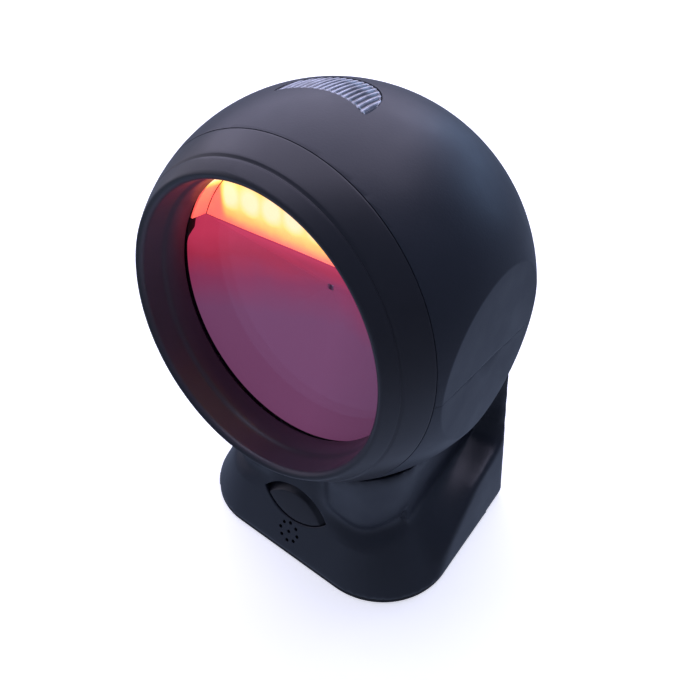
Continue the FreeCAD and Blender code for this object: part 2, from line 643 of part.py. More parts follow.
def rounded_wire(corners, height):
    """A closed flat outline; each corner is (x, y, radius of its rounding)."""
    count = len(corners)
    ends = []
    edges = []
    for index, (x, y, radius) in enumerate(corners):
        here = Vector(x, y, height)
        before = (Vector(*corners[index - 1][:2], height) - here).normalize()
        after = (Vector(*corners[(index + 1) % count][:2], height) - here).normalize()
        half = before.getAngle(after) / 2
        reach = radius / math.tan(half)
        middle = here + (before + after).normalize() * radius * (1 / math.sin(half) - 1)
        ends.append((here + before * reach, middle, here + after * reach))
    for index, (start, middle, end) in enumerate(ends):
        edges.append(Part.Arc(start, middle, end).toShape())
        edges.append(Part.LineSegment(end, ends[(index + 1) % count][0]).toShape())
    return Part.Wire(edges)


def base_outline(height, inset=0.0):
    """The outline of the leaning walls at a height, moved inwards by an inset."""
    front = -size("base_front") + height * math.tan(math.radians(size("front_lean"))) + inset
    lean = height * math.tan(math.radians(size("side_lean"))) + inset
    half_front = size("base_half_front") - lean
    half_rear = size("base_half_rear") - lean
    rear = size("base_rear") - inset
    front_corner = size("corner_front") - inset
    rear_corner = max(size("corner_rear") - inset, 0.5)
    return rounded_wire(((-half_front, front, front_corner), (half_front, front, front_corner),
                         (half_rear, rear, rear_corner), (-half_rear, rear, rear_corner)), height)


def neck_outline(height, flare, front, inset=0.0):
    """The outline of the neck at a height."""
    half_front = size("waist_front") + flare - inset
    half_rear = size("waist_rear") + flare - inset
    rear = size("base_rear") - size("back_wall") + size("base_wall") - inset
    corner = size("waist_corner") - inset
    return rounded_wire(((-half_front, front + inset, corner), (half_front, front + inset, corner),
                         (half_rear, rear, 1.0), (-half_rear, rear, 1.0)), height)


def front_wall_y(height):
    return -size("base_front") + height * math.tan(math.radians(size("front_lean")))


def block_solid(low, high, inset=0.0):
    return Part.makeLoft([base_outline(low, inset), base_outline(high, inset)], True, True)


def neck_solid(low, inset=0.0):
    """The neck, which widens a little from its foot to the top of the rear wall."""
    waist = size("waist_height")
    flare = size("cradle_flare")
    front = front_wall_y(waist)
    levels = ((low, 0.0, front), (waist, 0.0, front), (size("back_height") - inset, flare, front - flare))
    return Part.makeLoft([neck_outline(height, wide, y, inset) for height, wide, y in levels], True, True)


def skirt_solid(low, inset=0.0):
    """The skirt from the table's edge up to the neck's foot."""
    waist = size("waist_height")
    foot = neck_outline(waist, 0.0, front_wall_y(waist), inset)
    return Part.makeLoft([base_outline(low, inset), foot], True, True)


def neck_half(y):
    """Half width of the neck's foot at a place along Y, with its rounded front corner."""
    start = front_wall_y(size("waist_height")) + size("waist_corner")
    rear = size("base_rear") - size("back_wall")
    share = (y - start) / (rear - start)
    if share > 0:
        return size("waist_front") + (size("waist_rear") - size("waist_front")) * share
    across = math.sqrt(size("waist_corner") ** 2 - (y - start) ** 2)
    return size("waist_front") - size("waist_corner") + across


# The shelf beside the neck: share of the way back to the rear wall, then its height at the neck and
# at the side wall, both as shares of the neck's foot. At the front it starts inside the skirt.
SHELF = ((-0.32, 0.9, -0.5), (-0.22, 0.95, -0.12), (-0.15, 1.0, 0.14), (-0.07, 1.0, 0.36),
         (0.07, 1.0, 0.56), (0.21, 1.0, 0.69), (0.34, 1.0, 0.82), (0.46, 1.0, 0.93), (0.6, 1.0, 0.99),
         (0.75, 1.01, 1.05), (0.86, 1.05, 1.08), (0.93, 1.12, 1.14), (0.975, 1.22, 1.25),
         (1.0, 1.36, 1.42))


def side_wall_x(y, height):
    """Half width of the base at a place along Y and a height, without its rounded corners."""
    share = (y + size("base_front")) / (size("base_rear") + size("base_front"))
    foot = size("base_half_front") + (size("base_half_rear") - size("base_half_front")) * share
    return foot - height * math.tan(math.radians(size("side_lean")))


def above_shelf(side, drop=0.0, inward=0.0):
    """The space above the shelf on one side, as a loft of upright sections along Y."""
    rear = size("base_rear") - size("back_wall")
    outer = size("base_half_front") + 14
    high = 2.5 * size("back_height")
    wires = []
    for share, near_neck, at_wall in SHELF:
        y = share * rear
        start = near_neck * size("waist_height") - drop
        inner = neck_half(y) - 0.5 - inward
        wall_z = at_wall * size("waist_height")
        slope = (wall_z - start - drop) / (side_wall_x(y, wall_z) - inner - inward)
        end = start + slope * (outer - inner)
        points = [Vector(side * inner, y, start), Vector(side * outer, y, end),
                  Vector(side * outer, y, high), Vector(side * inner, y, high)]
        wires.append(Part.makePolygon(points + points[:1]))
    return Part.makeLoft(wires, True, True)


def shoulder_solid(low, high, inset=0.0):
    """The shelves beside the neck and the rear wall behind it."""
    body = block_solid(low, high, inset)
    drop = 1.4 * inset
    for side in (-1, 1):
        body = body.cut(above_shelf(side, drop, inset))
    near = SHELF[0][0] * (size("base_rear") - size("back_wall")) + 0.2
    return body.common(Part.makeBox(400, 400, 400, Vector(-200, near, -10)))


CASE_BOSSES = [(x, "toe_boss_y") for x in mirrored("toe_boss_x")]
CASE_BOSSES += [(x, "heel_boss_y") for x in mirrored("heel_boss_x")]


CASE_BOSS_HIGH = 17.0


def base_form():
    """The base's walls with their inside bosses, before its holes."""
    centre = Vector(0, 0, size("ball_height"))
    wall = size("base_wall")
    floor = size("shell_floor")
    outside = skirt_solid(floor).fuse(shoulder_solid(floor, size("back_height")))
    inside = skirt_solid(floor - 1, wall)
    inside = inside.fuse(shoulder_solid(floor - 1, size("back_height") - wall, wall))
    neck_low = size("waist_height") - 5
    outside = outside.fuse(neck_solid(neck_low)).cut(Part.makeSphere(size("seat_radius"), centre))
    inside = inside.fuse(neck_solid(neck_low, wall))
    inside = inside.cut(Part.makeSphere(size("seat_radius") + wall, centre))
    behind = size("base_rear") - size("back_wall") - wall
    keep = Part.makeBox(400, behind + 200, 400, Vector(-200, -200, floor - 1))
    socket_room = size("port_top") + size("socket_high") + 1 - floor
    low_keep = Part.makeBox(400, 400, socket_room + 1, Vector(-200, -200, floor - 1))
    inside = inside.common(keep.fuse(low_keep))
    pegs = [Part.makeCylinder(5.5, size("saddle_height"), Vector(0, 0, size("boss_z")))]
    for side in (-1, 1):
        for end in ("toe", "heel"):
            spot = Vector(side * size(end + "_boss_x"), size(end + "_boss_y"), size("plate_top"))
            pegs.append(Part.makeCylinder(size("case_boss"), CASE_BOSS_HIGH, spot))
    for peg in pegs:
        inside = inside.cut(peg)
    return outside.cut(inside)


def eye(grow, low, high):
    """The button's pointed oval, along the front wall's Y."""
    discs = [rod(f"button_bow + {grow}", low, high, axis="Y",
                 at=("0", f"button_up {side} (button_bow - button_rise)")) for side in "+-"]
    return common(*discs)


def base_shell():
    form = doc.addObject("Part::Feature", "BaseForm")
    form.Shape = base_form()
    wall_holes = [eye("fit", "-2", "base_wall + 6")]
    spots = [("0", "beeper_up")]
    spots += [(f"sound_ring * cos({45 * turn})", f"beeper_up + sound_ring * sin({45 * turn})")
              for turn in range(8)]
    wall_holes += [rod("sound_hole", "-1", "base_wall + 1", at=spot, axis="Y") for spot in spots]
    front_holes = group(wall_holes)
    in_front_wall(front_holes)
    bolt = rod("bolt_radius + fit", "boss_z - 1", "ball_height")
    wires = rod("2 * harness_radius", "waist_height", "ball_height", at=("harness_x", "0"))
    port = box(("-socket_half - fit", "socket_half + fit"), ("base_rear - base_wall - 2", "base_rear + 1"),
               ("port_top - fit", "port_top + socket_high + fit"))
    pilots = [rod(f"{BIG_SCREW} + slip", "plate_top - 1", "plate_top + 11", at=spot)
              for spot in CASE_BOSSES]
    node("base_shell", cut(form, front_holes, bolt, wires, port, *pilots))


# ---------------------------------------------------------------- button and beeper

KEY_POSTS = [(x, z) for x in mirrored("key_post_x") for z in ("key_board_low + 4", "key_board_high - 2.5")]


def front_controls():
    face = "button_sunk"
    plate = eye("0", face, "base_wall + gap")
    flange = eye("flange_width", "base_wall + gap", "key_back")
    stem = rod("2", "key_back", "key_back + 0.6", at=("0", "button_up"), axis="Y")
    node("button_cap", fuse(plate, flange, stem), in_front_wall)
    actuator = rod("1.7", "key_back + 0.7 + button_travel", "key_board_in - 3",
                   at=("0", "button_up"), axis="Y")
    switch = box(("-3", "3"), ("key_board_in - 3.5", "key_board_in"), ("button_up - 3", "button_up + 3"))
    node("button_switch", fuse(switch, actuator), in_front_wall)
    node("beeper", rod("4.1", "key_back + button_travel + fit", "key_board_in",
                       at=("0", "beeper_up + 1.9"), axis="Y"), in_front_wall)
    back = "key_board_in + board_thick"
    plate = box(("-key_post_x - 3", "key_post_x + 3"), ("key_board_in", back),
                ("key_board_low", "key_board_high"))
    holes = [rod(f"{SCREW} + fit", "key_board_in - 1", f"{back} + 1", at=spot, axis="Y")
             for spot in KEY_POSTS]
    node("button_board", cut(plate, *holes), in_front_wall)
    sleeves = []
    for spot in KEY_POSTS:
        sleeves.append(cut(rod("1.9", "base_wall", "key_board_in", at=spot, axis="Y"),
                           rod(f"{SCREW} + slip", "key_board_in - 5", "key_board_in + 1", at=spot,
                               axis="Y")))
    node("button_board_posts", group(sleeves), in_front_wall)
    node("button_board_screws", screws(KEY_POSTS, back, "key_board_in - 4", "Y"), in_front_wall)


# ---------------------------------------------------------------- bottom

PORT_POSTS = [(x, y) for x in mirrored("port_post_x") for y in ("port_post_front", "port_post_rear")]
BALLAST_SCREWS = [("0", "ballast_rear - 4"), ("0", "-ballast_front + 3.5")]
INSERTS = [(x, "insert_y") for x in mirrored("insert_spacing / 2")]


def mat(grow, low, high):
    """The rubber mat's rounded outline between two heights."""
    wide, near, far = f"mat_x + {grow}", f"mat_front - {grow}", f"mat_rear + {grow}"
    inset = f"mat_corner + {grow}"
    corners = [rod(inset, low, high, at=(f"{side} (mat_x - mat_corner)", y))
               for side in "+-" for y in ("mat_front + mat_corner", "mat_rear - mat_corner")]
    return fuse(box((f"-({wide})", wide), (f"{near} + {inset}", f"{far} - ({inset})"), (low, high)),
                box((f"-({wide}) + {inset}", f"{wide} - ({inset})"), (near, far), (low, high)), *corners)


def plate_form():
    """A visible edge and a step that locates inside the shell."""
    edge = block_solid(size("mat_high"), size("shell_floor"), 0.8)
    inside = skirt_solid(size("shell_floor") - 1, size("base_wall") + size("fit"))
    step = inside.common(Part.makeBox(400, 400, size("plate_step"), Vector(-200, -200, size("shell_floor"))))
    return edge.fuse(step).removeSplitter()


def bottom_plate():
    form = doc.addObject("Part::Feature", "PlateForm")
    form.Shape = plate_form()
    pegs = [rod("insert_radius + 1.6", "plate_top - 1", "plate_top + 3", at=spot) for spot in INSERTS]
    pegs += [rod("port_post", "plate_top - 1", "port_board_z", at=spot) for spot in PORT_POSTS]
    holes = [rod("insert_radius + slip", "mat_high - 1", "plate_top + 4", at=spot) for spot in INSERTS]
    holes += [rod(f"{SCREW} + slip", "port_board_z - 5", "port_board_z + 1", at=spot)
              for spot in PORT_POSTS]
    holes += [rod(f"{SCREW} + slip", "mat_high + mat_sunk + 0.4", "plate_top + 1", at=spot)
              for spot in BALLAST_SCREWS]
    holes.append(mat("fit", "mat_high - 1", "mat_high + mat_sunk"))
    holes += [rod(f"{BIG_HEAD} + fit", "mat_high - 1", "mat_high + 1.5", at=spot)
              for spot in CASE_BOSSES]
    holes += [rod(f"{BIG_SCREW} + fit", "mat_high", "plate_top + 1", at=spot) for spot in CASE_BOSSES]
    node("bottom_plate", cut(fuse(form, *pegs), *holes))
    node("bottom_screws", screws(CASE_BOSSES, "mat_high + 1.5", "plate_top + 10", "Z",
                                 BIG_SCREW, BIG_HEAD, 1.4, upside=True))
    clear = [rod("insert_radius + 0.8", "-1", "mat_high + mat_sunk + 1", at=spot) for spot in INSERTS]
    node("rubber_mat", cut(mat("0", "0", "mat_high + mat_sunk"), *clear))
    inserts = [cut(rod("insert_radius", "mat_high", "plate_top + 3", at=spot),
                   rod("insert_hole", "mat_high - 1", "plate_top + 4", at=spot)) for spot in INSERTS]
    node("mounting_inserts", group(inserts))


def ballast():
    slab = box(("-ballast_x", "ballast_x"), ("-ballast_front", "ballast_rear"), ("plate_top", "ballast_top"))
    holes = [rod("insert_radius + 1.6 + gap", "plate_top - 1", "ballast_top + 1", at=spot)
             for spot in INSERTS]
    holes += [rod(f"{SCREW} + fit", "plate_top - 1", "ballast_top + 1", at=spot)
              for spot in BALLAST_SCREWS]
    node("ballast_weight", cut(slab, *holes))
    node("ballast_screws", screws(BALLAST_SCREWS, "ballast_top", "mat_high + mat_sunk + 0.7", "Z"))


def port():
    holes = [rod(f"{SCREW} + fit", "port_board_z - 1", "port_top + 1", at=spot) for spot in PORT_POSTS]
    plate = box(("-port_board_x", "port_board_x"), ("port_board_y", "base_rear - base_wall - 1"),
                ("port_board_z", "port_top"))
    node("port_board", cut(plate, *holes))
    node("port_board_screws", screws(PORT_POSTS, "port_top", "port_board_z - 4", "Z"))
    body = box(("-socket_half", "socket_half"), ("base_rear - socket_deep", "base_rear - fit"),
               ("port_top", "port_top + socket_high"))
    mouth = box(("2 - socket_half", "socket_half - 2"), ("base_rear - socket_deep + 3", "base_rear + 1"),
                ("port_top + 2", "port_top + socket_high - 2"))
    node("cable_socket", cut(body, mouth))
    node("harness_connector", box(("harness_x - 4", "harness_x + 4"), ("-4", "3"),
                                  ("ballast_top", "ballast_top + 5")))


def wire_harness():
    """The wires from the base to the main board, through the neck and the lower shell."""
    tilt = math.radians(size("rest_tilt"))
    reach = size("board_y") - 2.2
    drop = size("main_board_foot")
    end = Vector(size("harness_x"), reach * math.cos(tilt) - drop * math.sin(tilt),
                 size("ball_height") - reach * math.sin(tilt) - drop * math.cos(tilt))
    start = Vector(size("harness_x"), 0, size("ballast_top") + 5)
    bend = Vector(size("harness_x"), 0, size("saddle_height") + 5)
    back = (start - bend).normalize()
    onward = (end - bend).normalize()
    half = back.getAngle(onward) / 2
    leg = 0.45 * (end - bend).Length
    radius = leg * math.tan(half)
    middle = bend + (back + onward).normalize() * radius * (1 / math.sin(half) - 1)
    path = Part.Wire([Part.LineSegment(start, bend + back * leg).toShape(),
                      Part.Arc(bend + back * leg, middle, bend + onward * leg).toShape(),
                      Part.LineSegment(bend + onward * leg, end).toShape()])
    print(f"harness bend radius {radius:.1f} mm")
    round_end = Part.Wire(Part.makeCircle(size("harness_radius"), start, Vector(0, 0, 1)))
    form = doc.addObject("Part::Feature", "HarnessForm")
    form.Shape = path.makePipeShell([round_end], True, True)
    node("wire_harness", form)


# ---------------------------------------------------------------- assembly

def build():
    head_upper_shell()
    head_lower_shell()
    head_shell_screws()
    front_bezel()
    window()
    light_shroud()
    lamp()
    camera()
    main_board()
    indicator()
    clamp()
    base_shell()
    front_controls()
    bottom_plate()
    ballast()
    port()
    wire_harness()
    doc.recompute()


def check():
    """Stops on anything that failed to build."""
    for obj in doc.Objects:
        if "Invalid" in obj.State or "Error" in obj.State:
            raise RuntimeError(f"{obj.Label} failed: {obj.State}")
    for obj in nodes:
        if obj.Shape.isNull() or not obj.Shape.isValid() or not obj.Shape.Solids:
            raise RuntimeError(f"{obj.Label} has no valid shape")


def export():
    os.makedirs("parts", exist_ok=True)
    for obj in nodes:
        obj.Shape.exportStep(f"parts/{obj.Label}.step")
        print(obj.Label, len(obj.Shape.Solids), "solid(s)")


build()
check()
export()
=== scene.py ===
import json
import math

import bmesh
import bpy
import numpy as np
from bpy.props import FloatProperty, FloatVectorProperty, IntProperty, PointerProperty
from mathutils import Matrix, Vector


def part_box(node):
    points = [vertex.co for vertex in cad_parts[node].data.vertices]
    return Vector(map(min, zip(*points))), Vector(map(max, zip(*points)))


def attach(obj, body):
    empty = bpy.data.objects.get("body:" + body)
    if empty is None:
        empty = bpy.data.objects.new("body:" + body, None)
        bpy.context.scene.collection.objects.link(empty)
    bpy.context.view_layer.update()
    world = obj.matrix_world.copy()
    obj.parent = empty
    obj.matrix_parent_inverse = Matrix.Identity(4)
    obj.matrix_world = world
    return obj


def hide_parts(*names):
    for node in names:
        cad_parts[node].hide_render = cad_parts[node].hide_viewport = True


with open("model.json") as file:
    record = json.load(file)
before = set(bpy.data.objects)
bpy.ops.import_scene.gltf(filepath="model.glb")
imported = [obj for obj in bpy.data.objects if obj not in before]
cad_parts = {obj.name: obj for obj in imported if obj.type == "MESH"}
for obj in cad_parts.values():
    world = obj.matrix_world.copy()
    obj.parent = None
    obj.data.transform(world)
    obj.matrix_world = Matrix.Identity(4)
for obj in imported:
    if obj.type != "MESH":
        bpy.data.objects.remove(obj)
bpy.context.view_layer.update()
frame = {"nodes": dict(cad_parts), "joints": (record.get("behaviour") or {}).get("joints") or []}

bl_info = {
    "name": "Desk scanner",
    "version": (1, 0, 0),
    "blender": (4, 5, 0),
    "location": "3D View > Sidebar > Scanner",
    "description": "Finishes a hands-free desk scanner: moulded shells, lit window, indicator and base",
    "category": "Object",
}

HEAD_CENTRE = Vector(next(joint["pos_m"] for joint in frame["joints"] if joint["name"] == "head_tilt"))
MM = 0.001


# ------------------------------------------------------------------ colours and nodes

def linear(text):
    """A hex sRGB colour as linear RGBA."""
    values = [int(text[at:at + 2], 16) / 255 for at in (1, 3, 5)]
    return [v / 12.92 if v <= 0.04045 else ((v + 0.055) / 1.055) ** 2.4 for v in values] + [1.0]


def tone(colour, factor):
    """A lighter or darker version of a linear colour."""
    return [min(v * factor, 1.0) for v in colour[:3]] + [1.0]


def add_node(tree, kind, inputs=None, **settings):
    """Adds a node, sets it up, and gives its inputs values or links."""
    node = tree.nodes.new(kind)
    for name, value in settings.items():
        setattr(node, name, value)
    for socket, value in (inputs or {}).items():
        if isinstance(value, bpy.types.NodeSocket):
            tree.links.new(value, node.inputs[socket])
        else:
            node.inputs[socket].default_value = value
    return node


def calc(tree, operation, *values):
    """A Math node's result."""
    inputs = dict(enumerate(values))
    return add_node(tree, "ShaderNodeMath", inputs, operation=operation).outputs[0]


def distance(tree, first, second):
    """The length of two values at right angles."""
    squares = [calc(tree, "POWER", value, 2.0) for value in (first, second)]
    return calc(tree, "SQRT", calc(tree, "ADD", *squares))


def blend_colours(tree, factor, first, second):
    return add_node(tree, "ShaderNodeMix", {"Factor": factor, "A": first, "B": second},
                    data_type="RGBA").outputs["Result"]


def noise(tree, size, detail=2.0, roughness=0.55, stretch=None):
    """Cloudy noise on the piece's own coordinates, with features of a size in metres."""
    place = add_node(tree, "ShaderNodeTexCoord").outputs["Object"]
    if stretch:
        place = add_node(tree, "ShaderNodeMapping", {"Vector": place, "Scale": stretch}).outputs["Vector"]
    return add_node(tree, "ShaderNodeTexNoise", {"Vector": place, "Scale": 1 / size, "Detail": detail,
                                                 "Roughness": roughness}).outputs["Fac"]


def stretch_range(tree, value, low, high, to_low, to_high):
    return add_node(tree, "ShaderNodeMapRange", {"Value": value, "From Min": low, "From Max": high,
                                                 "To Min": to_low, "To Max": to_high}).outputs["Result"]


def bumped(tree, height, strength, distance):
    return add_node(tree, "ShaderNodeBump", {"Height": height, "Strength": strength,
                                             "Distance": distance}).outputs["Normal"]


def new_material(name):
    """An empty material and its node tree."""
    material = bpy.data.materials.new(name)
    material.use_nodes = True
    material.node_tree.nodes.clear()
    return material, material.node_tree


def finish_material(tree, surface):
    add_node(tree, "ShaderNodeOutputMaterial", {"Surface": surface})


def principled(tree, **inputs):
    """The common shader; underscores in the names stand for spaces."""
    shader = add_node(tree, "ShaderNodeBsdfPrincipled",
                      {name.replace("_", " "): value for name, value in inputs.items()})
    finish_material(tree, shader.outputs["BSDF"])
    return shader


def head_point(tree):
    """X, Y and Z in the head's own frame."""
    place = add_node(tree, "ShaderNodeTexCoord").outputs["Object"]
    tilt = bpy.context.scene.scanner_sizes.rest_tilt
    local = add_node(tree, "ShaderNodeMapping", {"Vector": place, "Location": HEAD_CENTRE,
                                                 "Rotation": (-tilt, 0, 0)}, vector_type="TEXTURE")
    return add_node(tree, "ShaderNodeSeparateXYZ", {"Vector": local.outputs["Vector"]}).outputs


# ------------------------------------------------------------------ mesh helpers

def new_object(name, mesh):
    piece = bpy.data.objects.new(name, mesh)
    bpy.context.scene.collection.objects.link(piece)
    return piece


def smooth(mesh, angle):
    """Smooth shading with sharp edges above an angle in degrees."""
    mesh.shade_smooth()
    mesh.set_sharp_from_angle(angle=math.radians(angle))


def mesh_object(name, form, smooth_angle=35):
    """An object from a bmesh, merged, with its faces outwards."""
    bmesh.ops.remove_doubles(form, verts=form.verts, dist=0.002 * MM)
    bmesh.ops.recalc_face_normals(form, faces=form.faces)
    mesh = bpy.data.meshes.new(name)
    form.to_mesh(mesh)
    form.free()
    smooth(mesh, smooth_angle)
    return new_object(name, mesh)


def settle(piece):
    """Applies a piece's modifiers, so its mesh is plain."""
    bpy.context.view_layer.update()
    graph = bpy.context.evaluated_depsgraph_get()
    mesh = bpy.data.meshes.new_from_object(piece.evaluated_get(graph))
    piece.modifiers.clear()
    piece.data = mesh
    return piece


def join_rings(form, rings, closed=False):
    """Faces between neighbouring rings of vertices of equal length."""
    count = len(rings[0])
    pairs = list(zip(rings, rings[1:])) + ([(rings[-1], rings[0])] if closed else [])
    for here, there in pairs:
        for at in range(count):
            nxt = (at + 1) % count
            form.faces.new((here[at], here[nxt], there[nxt], there[at]))


def lathe(name, profile, steps, smooth_angle=50):
    """A solid of revolution about Y from a closed line of (radius, y) points in millimetres."""
    form = bmesh.new()
    rings = []
    for step in range(steps):
        turn = 2 * math.pi * step / steps
        rings.append([form.verts.new((r * math.cos(turn) * MM, y * MM, r * math.sin(turn) * MM))
                      for r, y in profile])
    join_rings(form, rings, closed=True)
    return mesh_object(name, form, smooth_angle)


def stack(name, layers, smooth_angle=35):
    """A solid from closed loops of points, capped at both ends."""
    form = bmesh.new()
    rings = [[form.verts.new(Vector(point) * MM) for point in layer] for layer in layers]
    join_rings(form, rings)
    form.faces.new(rings[0])
    form.faces.new(rings[-1])
    return mesh_object(name, form, smooth_angle)


def prism(name, outline, low, high):
    """An upright prism over an outline, millimetres."""
    return stack(name, [[(x, y, z) for x, y in outline] for z in (low, high)])


def cut_away(piece, tools, smooth_angle):
    """Cuts tools out of a piece and removes them."""
    for tool in tools:
        hole = piece.modifiers.new("hole", "BOOLEAN")
        hole.operation = "DIFFERENCE"
        hole.solver = "EXACT"
        hole.object = tool
    settle(piece)
    for tool in tools:
        bpy.data.objects.remove(tool)
    smooth(piece.data, smooth_angle)


def clamp_notch():
    """Room at the foot of the head's inner rings for the clamp's nut when the head is tilted down."""
    outline = [(-6, GASKET_Y - 0.8), (6, GASKET_Y - 0.8), (6, LAMP_Y + 1), (-6, LAMP_Y + 1)]
    return prism("clamp_notch", outline, -52, -39)


def place_mesh(piece, matrix):
    piece.data.transform(matrix)
    piece.data.update()
    return piece


def dress(piece, name):
    piece.data.materials.clear()
    piece.data.materials.append(bpy.data.materials[name])
    return piece


def hand_over(piece, finish, slot, body, *nodes):
    """Gives a finished piece its material and its body, and hides the CAD nodes that it stands for. Its slot
    argument is not used.
    """
    dress(piece, finish)
    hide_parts(*nodes)
    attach(piece, body)


def head_place():
    """The head's own frame, whose -Y looks out of the window."""
    tilt = bpy.context.scene.scanner_sizes.rest_tilt
    return Matrix.Translation(HEAD_CENTRE) @ Matrix.Rotation(-tilt, 4, "X")


def wall_place():
    """The front wall's frame: +Y goes through the wall and +Z climbs it."""
    sizes = bpy.context.scene.scanner_sizes
    return Matrix.Translation((0, -sizes.base_front, 0)) @ Matrix.Rotation(-sizes.front_lean, 4, "X")


def arc(centre, radius, start, end, steps):
    """Points of an arc, angles in degrees."""
    turns = np.radians(np.linspace(start, end, steps))
    return [(centre[0] + radius * math.cos(t), centre[1] + radius * math.sin(t)) for t in turns]


def circle(spot, radius, steps):
    return arc(spot, radius, 0, 360, steps + 1)[:-1]


# ------------------------------------------------------------------ geometry nodes

def new_tree(name, sockets):
    """A Geometry Nodes tree with named inputs, and its input node."""
    tree = bpy.data.node_groups.new(name, "GeometryNodeTree")
    for label, kind in sockets:
        tree.interface.new_socket(label, in_out="INPUT", socket_type="NodeSocket" + kind)
    tree.interface.new_socket("Geometry", in_out="OUTPUT", socket_type="NodeSocketGeometry")
    return tree, add_node(tree, "NodeGroupInput").outputs


def end_tree(tree, geometry, finish):
    """Ends a tree with plain, finished geometry."""
    plain = add_node(tree, "GeometryNodeRealizeInstances", {"Geometry": geometry})
    coated = add_node(tree, "GeometryNodeSetMaterial", {"Geometry": plain.outputs[0], "Material": finish})
    add_node(tree, "NodeGroupOutput", {"Geometry": coated.outputs[0]})


def grow(name, tree, mesh, values):
    """A plain piece from a tree, with its named inputs set."""
    piece = new_object(name, mesh)
    modifier = piece.modifiers.new("nodes", "NODES")
    modifier.node_group = tree
    for item in tree.interface.items_tree:
        if item.item_type == "SOCKET" and item.in_out == "INPUT" and item.name in values:
            modifier[item.identifier] = values[item.name]
    return settle(piece)


def points_mesh(name, spots):
    mesh = bpy.data.meshes.new(name)
    mesh.from_pydata(spots, [], [])
    return mesh


# ------------------------------------------------------------------ settings

def length_property(name, description, default):
    return FloatProperty(name=name, description=description, default=default, unit="LENGTH")


def angle_property(name, description, degrees):
    return FloatProperty(name=name, description=description, default=math.radians(degrees),
                         unit="ROTATION")


class ScannerSizes(bpy.types.PropertyGroup):
    """Sizes that a user would change"""
    rest_tilt: angle_property("Rest tilt", "How far the window looks up at rest", 5)
    ball_radius: length_property("Head radius", "Outside of the round head", 0.052)
    flat_x: length_property("Side flat", "Middle plane to each flat side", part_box("head_upper_shell")[1].x)
    soft_edge: length_property("Soft edge", "Rounding where the flats meet the round", 0.0016)
    wall: length_property("Shell wall", "Thickness of the head shells", 0.0024)
    mouth: length_property("Mouth", "Radius of the bezel's mouth", 0.0371)
    recess: length_property("Recess", "Radius of the recess at the window", 0.0365)
    crescent_back: length_property("Crescent back", "Radius of the indicator's round back", 0.0126)
    crescent_hollow: length_property("Crescent hollow", "Radius of the indicator's hollow", 0.0292)
    rib_pitch: length_property("Rib pitch", "Spacing of the indicator's ribs", 0.0016)
    rib_depth: length_property("Rib depth", "Depth between the indicator's ribs", 0.0005)
    led_pitch: length_property("LED pitch", "Spacing of the lamp's LEDs", 0.0072)
    base_front: length_property("Base front", "Head's axis to the base's front edge", 0.0284)
    front_lean: angle_property("Front lean", "How far the front wall leans back", 19)
    voxel: length_property("Base cell", "Cell size in which the base is softened", 0.0008)
    trough: IntProperty(name="Trough softness", description="Passes that fill the base's inner creases",
                        default=90, min=0)
    button_up: length_property("Button height", "Button's centre up the front wall", 0.0213)
    button_half: length_property("Button length", "Half length of the button", 0.0125)
    button_rise: length_property("Button width", "Half width of the button", 0.006)
    sound_up: length_property("Sound holes", "Centre of the sound holes up the front wall", 0.0102)
    sound_ring: length_property("Sound ring", "Radius of the ring of sound holes", 0.0035)
    sound_count: IntProperty(name="Sound hole count", description="Holes round the middle one",
                             default=8, min=3)


def colour_property(name, description, text):
    return FloatVectorProperty(name=name, description=description, default=linear(text), size=4,
                               min=0, max=1, subtype="COLOR")


class ScannerColours(bpy.types.PropertyGroup):
    """Colours and light that a user would change"""
    case: colour_property("Case", "Head shells and base shell", "#171B26")
    bezel: colour_property("Bezel", "Bezel and button", "#17171F")
    hidden: colour_property("Inner parts", "Bottom plate, housings and rings", "#101116")
    rubber: colour_property("Rubber", "Mat, gasket and friction pad", "#0C0C0E")
    window: colour_property("Window tint", "Acrylic window", "#FAF0F6")
    # Painted light: the colours of the glow painted on the shroud, near the lamp and away from it.
    shroud_top: colour_property("Shroud near lamp", "Light shroud below the lamp", "#AE3450")
    shroud_low: colour_property("Shroud far side", "Light shroud away from the lamp", "#764B6E")
    lamp: colour_property("Lamp", "Lamp between its LEDs", "#FFC438")
    # Painted light: a lighter colour painted on the bezel inside its mouth, standing in for light that
    # doesn't reach the recess.
    recess: colour_property("Recess", "Bezel inside its mouth", "#38323E")
    indicator: colour_property("Indicator", "Ribbed lens on top", "#C6CEEA")
    board: colour_property("Circuit boards", "Solder mask", "#0E4A2A")
    lamp_strength: FloatProperty(name="Lamp strength", description="Brightness of the lamp", default=1.1)
    glow_strength: FloatProperty(name="Shroud glow", description="Red light on the shroud", default=1.0)


# ------------------------------------------------------------------ finishes

def moulded_plastic(name, colour, roughness, grain, depth):
    """Injection-moulded plastic: the eroded mould leaves a fine grain, and thick places set duller.

    The real grain is about 0.1 mm across, and it is drawn a few times coarser so that it shows.
    """
    material, tree = new_material(name)
    cloud = noise(tree, 16 * MM, 3.0)
    pits = noise(tree, grain, 2.0)
    tint = blend_colours(tree, cloud, tone(colour, 0.85), tone(colour, 1.25))
    dull = stretch_range(tree, cloud, 0.3, 0.7, roughness - 0.05, roughness + 0.06)
    principled(tree, Base_Color=tint, Roughness=dull, Normal=bumped(tree, pits, 0.6, depth), IOR=1.52)
    return material


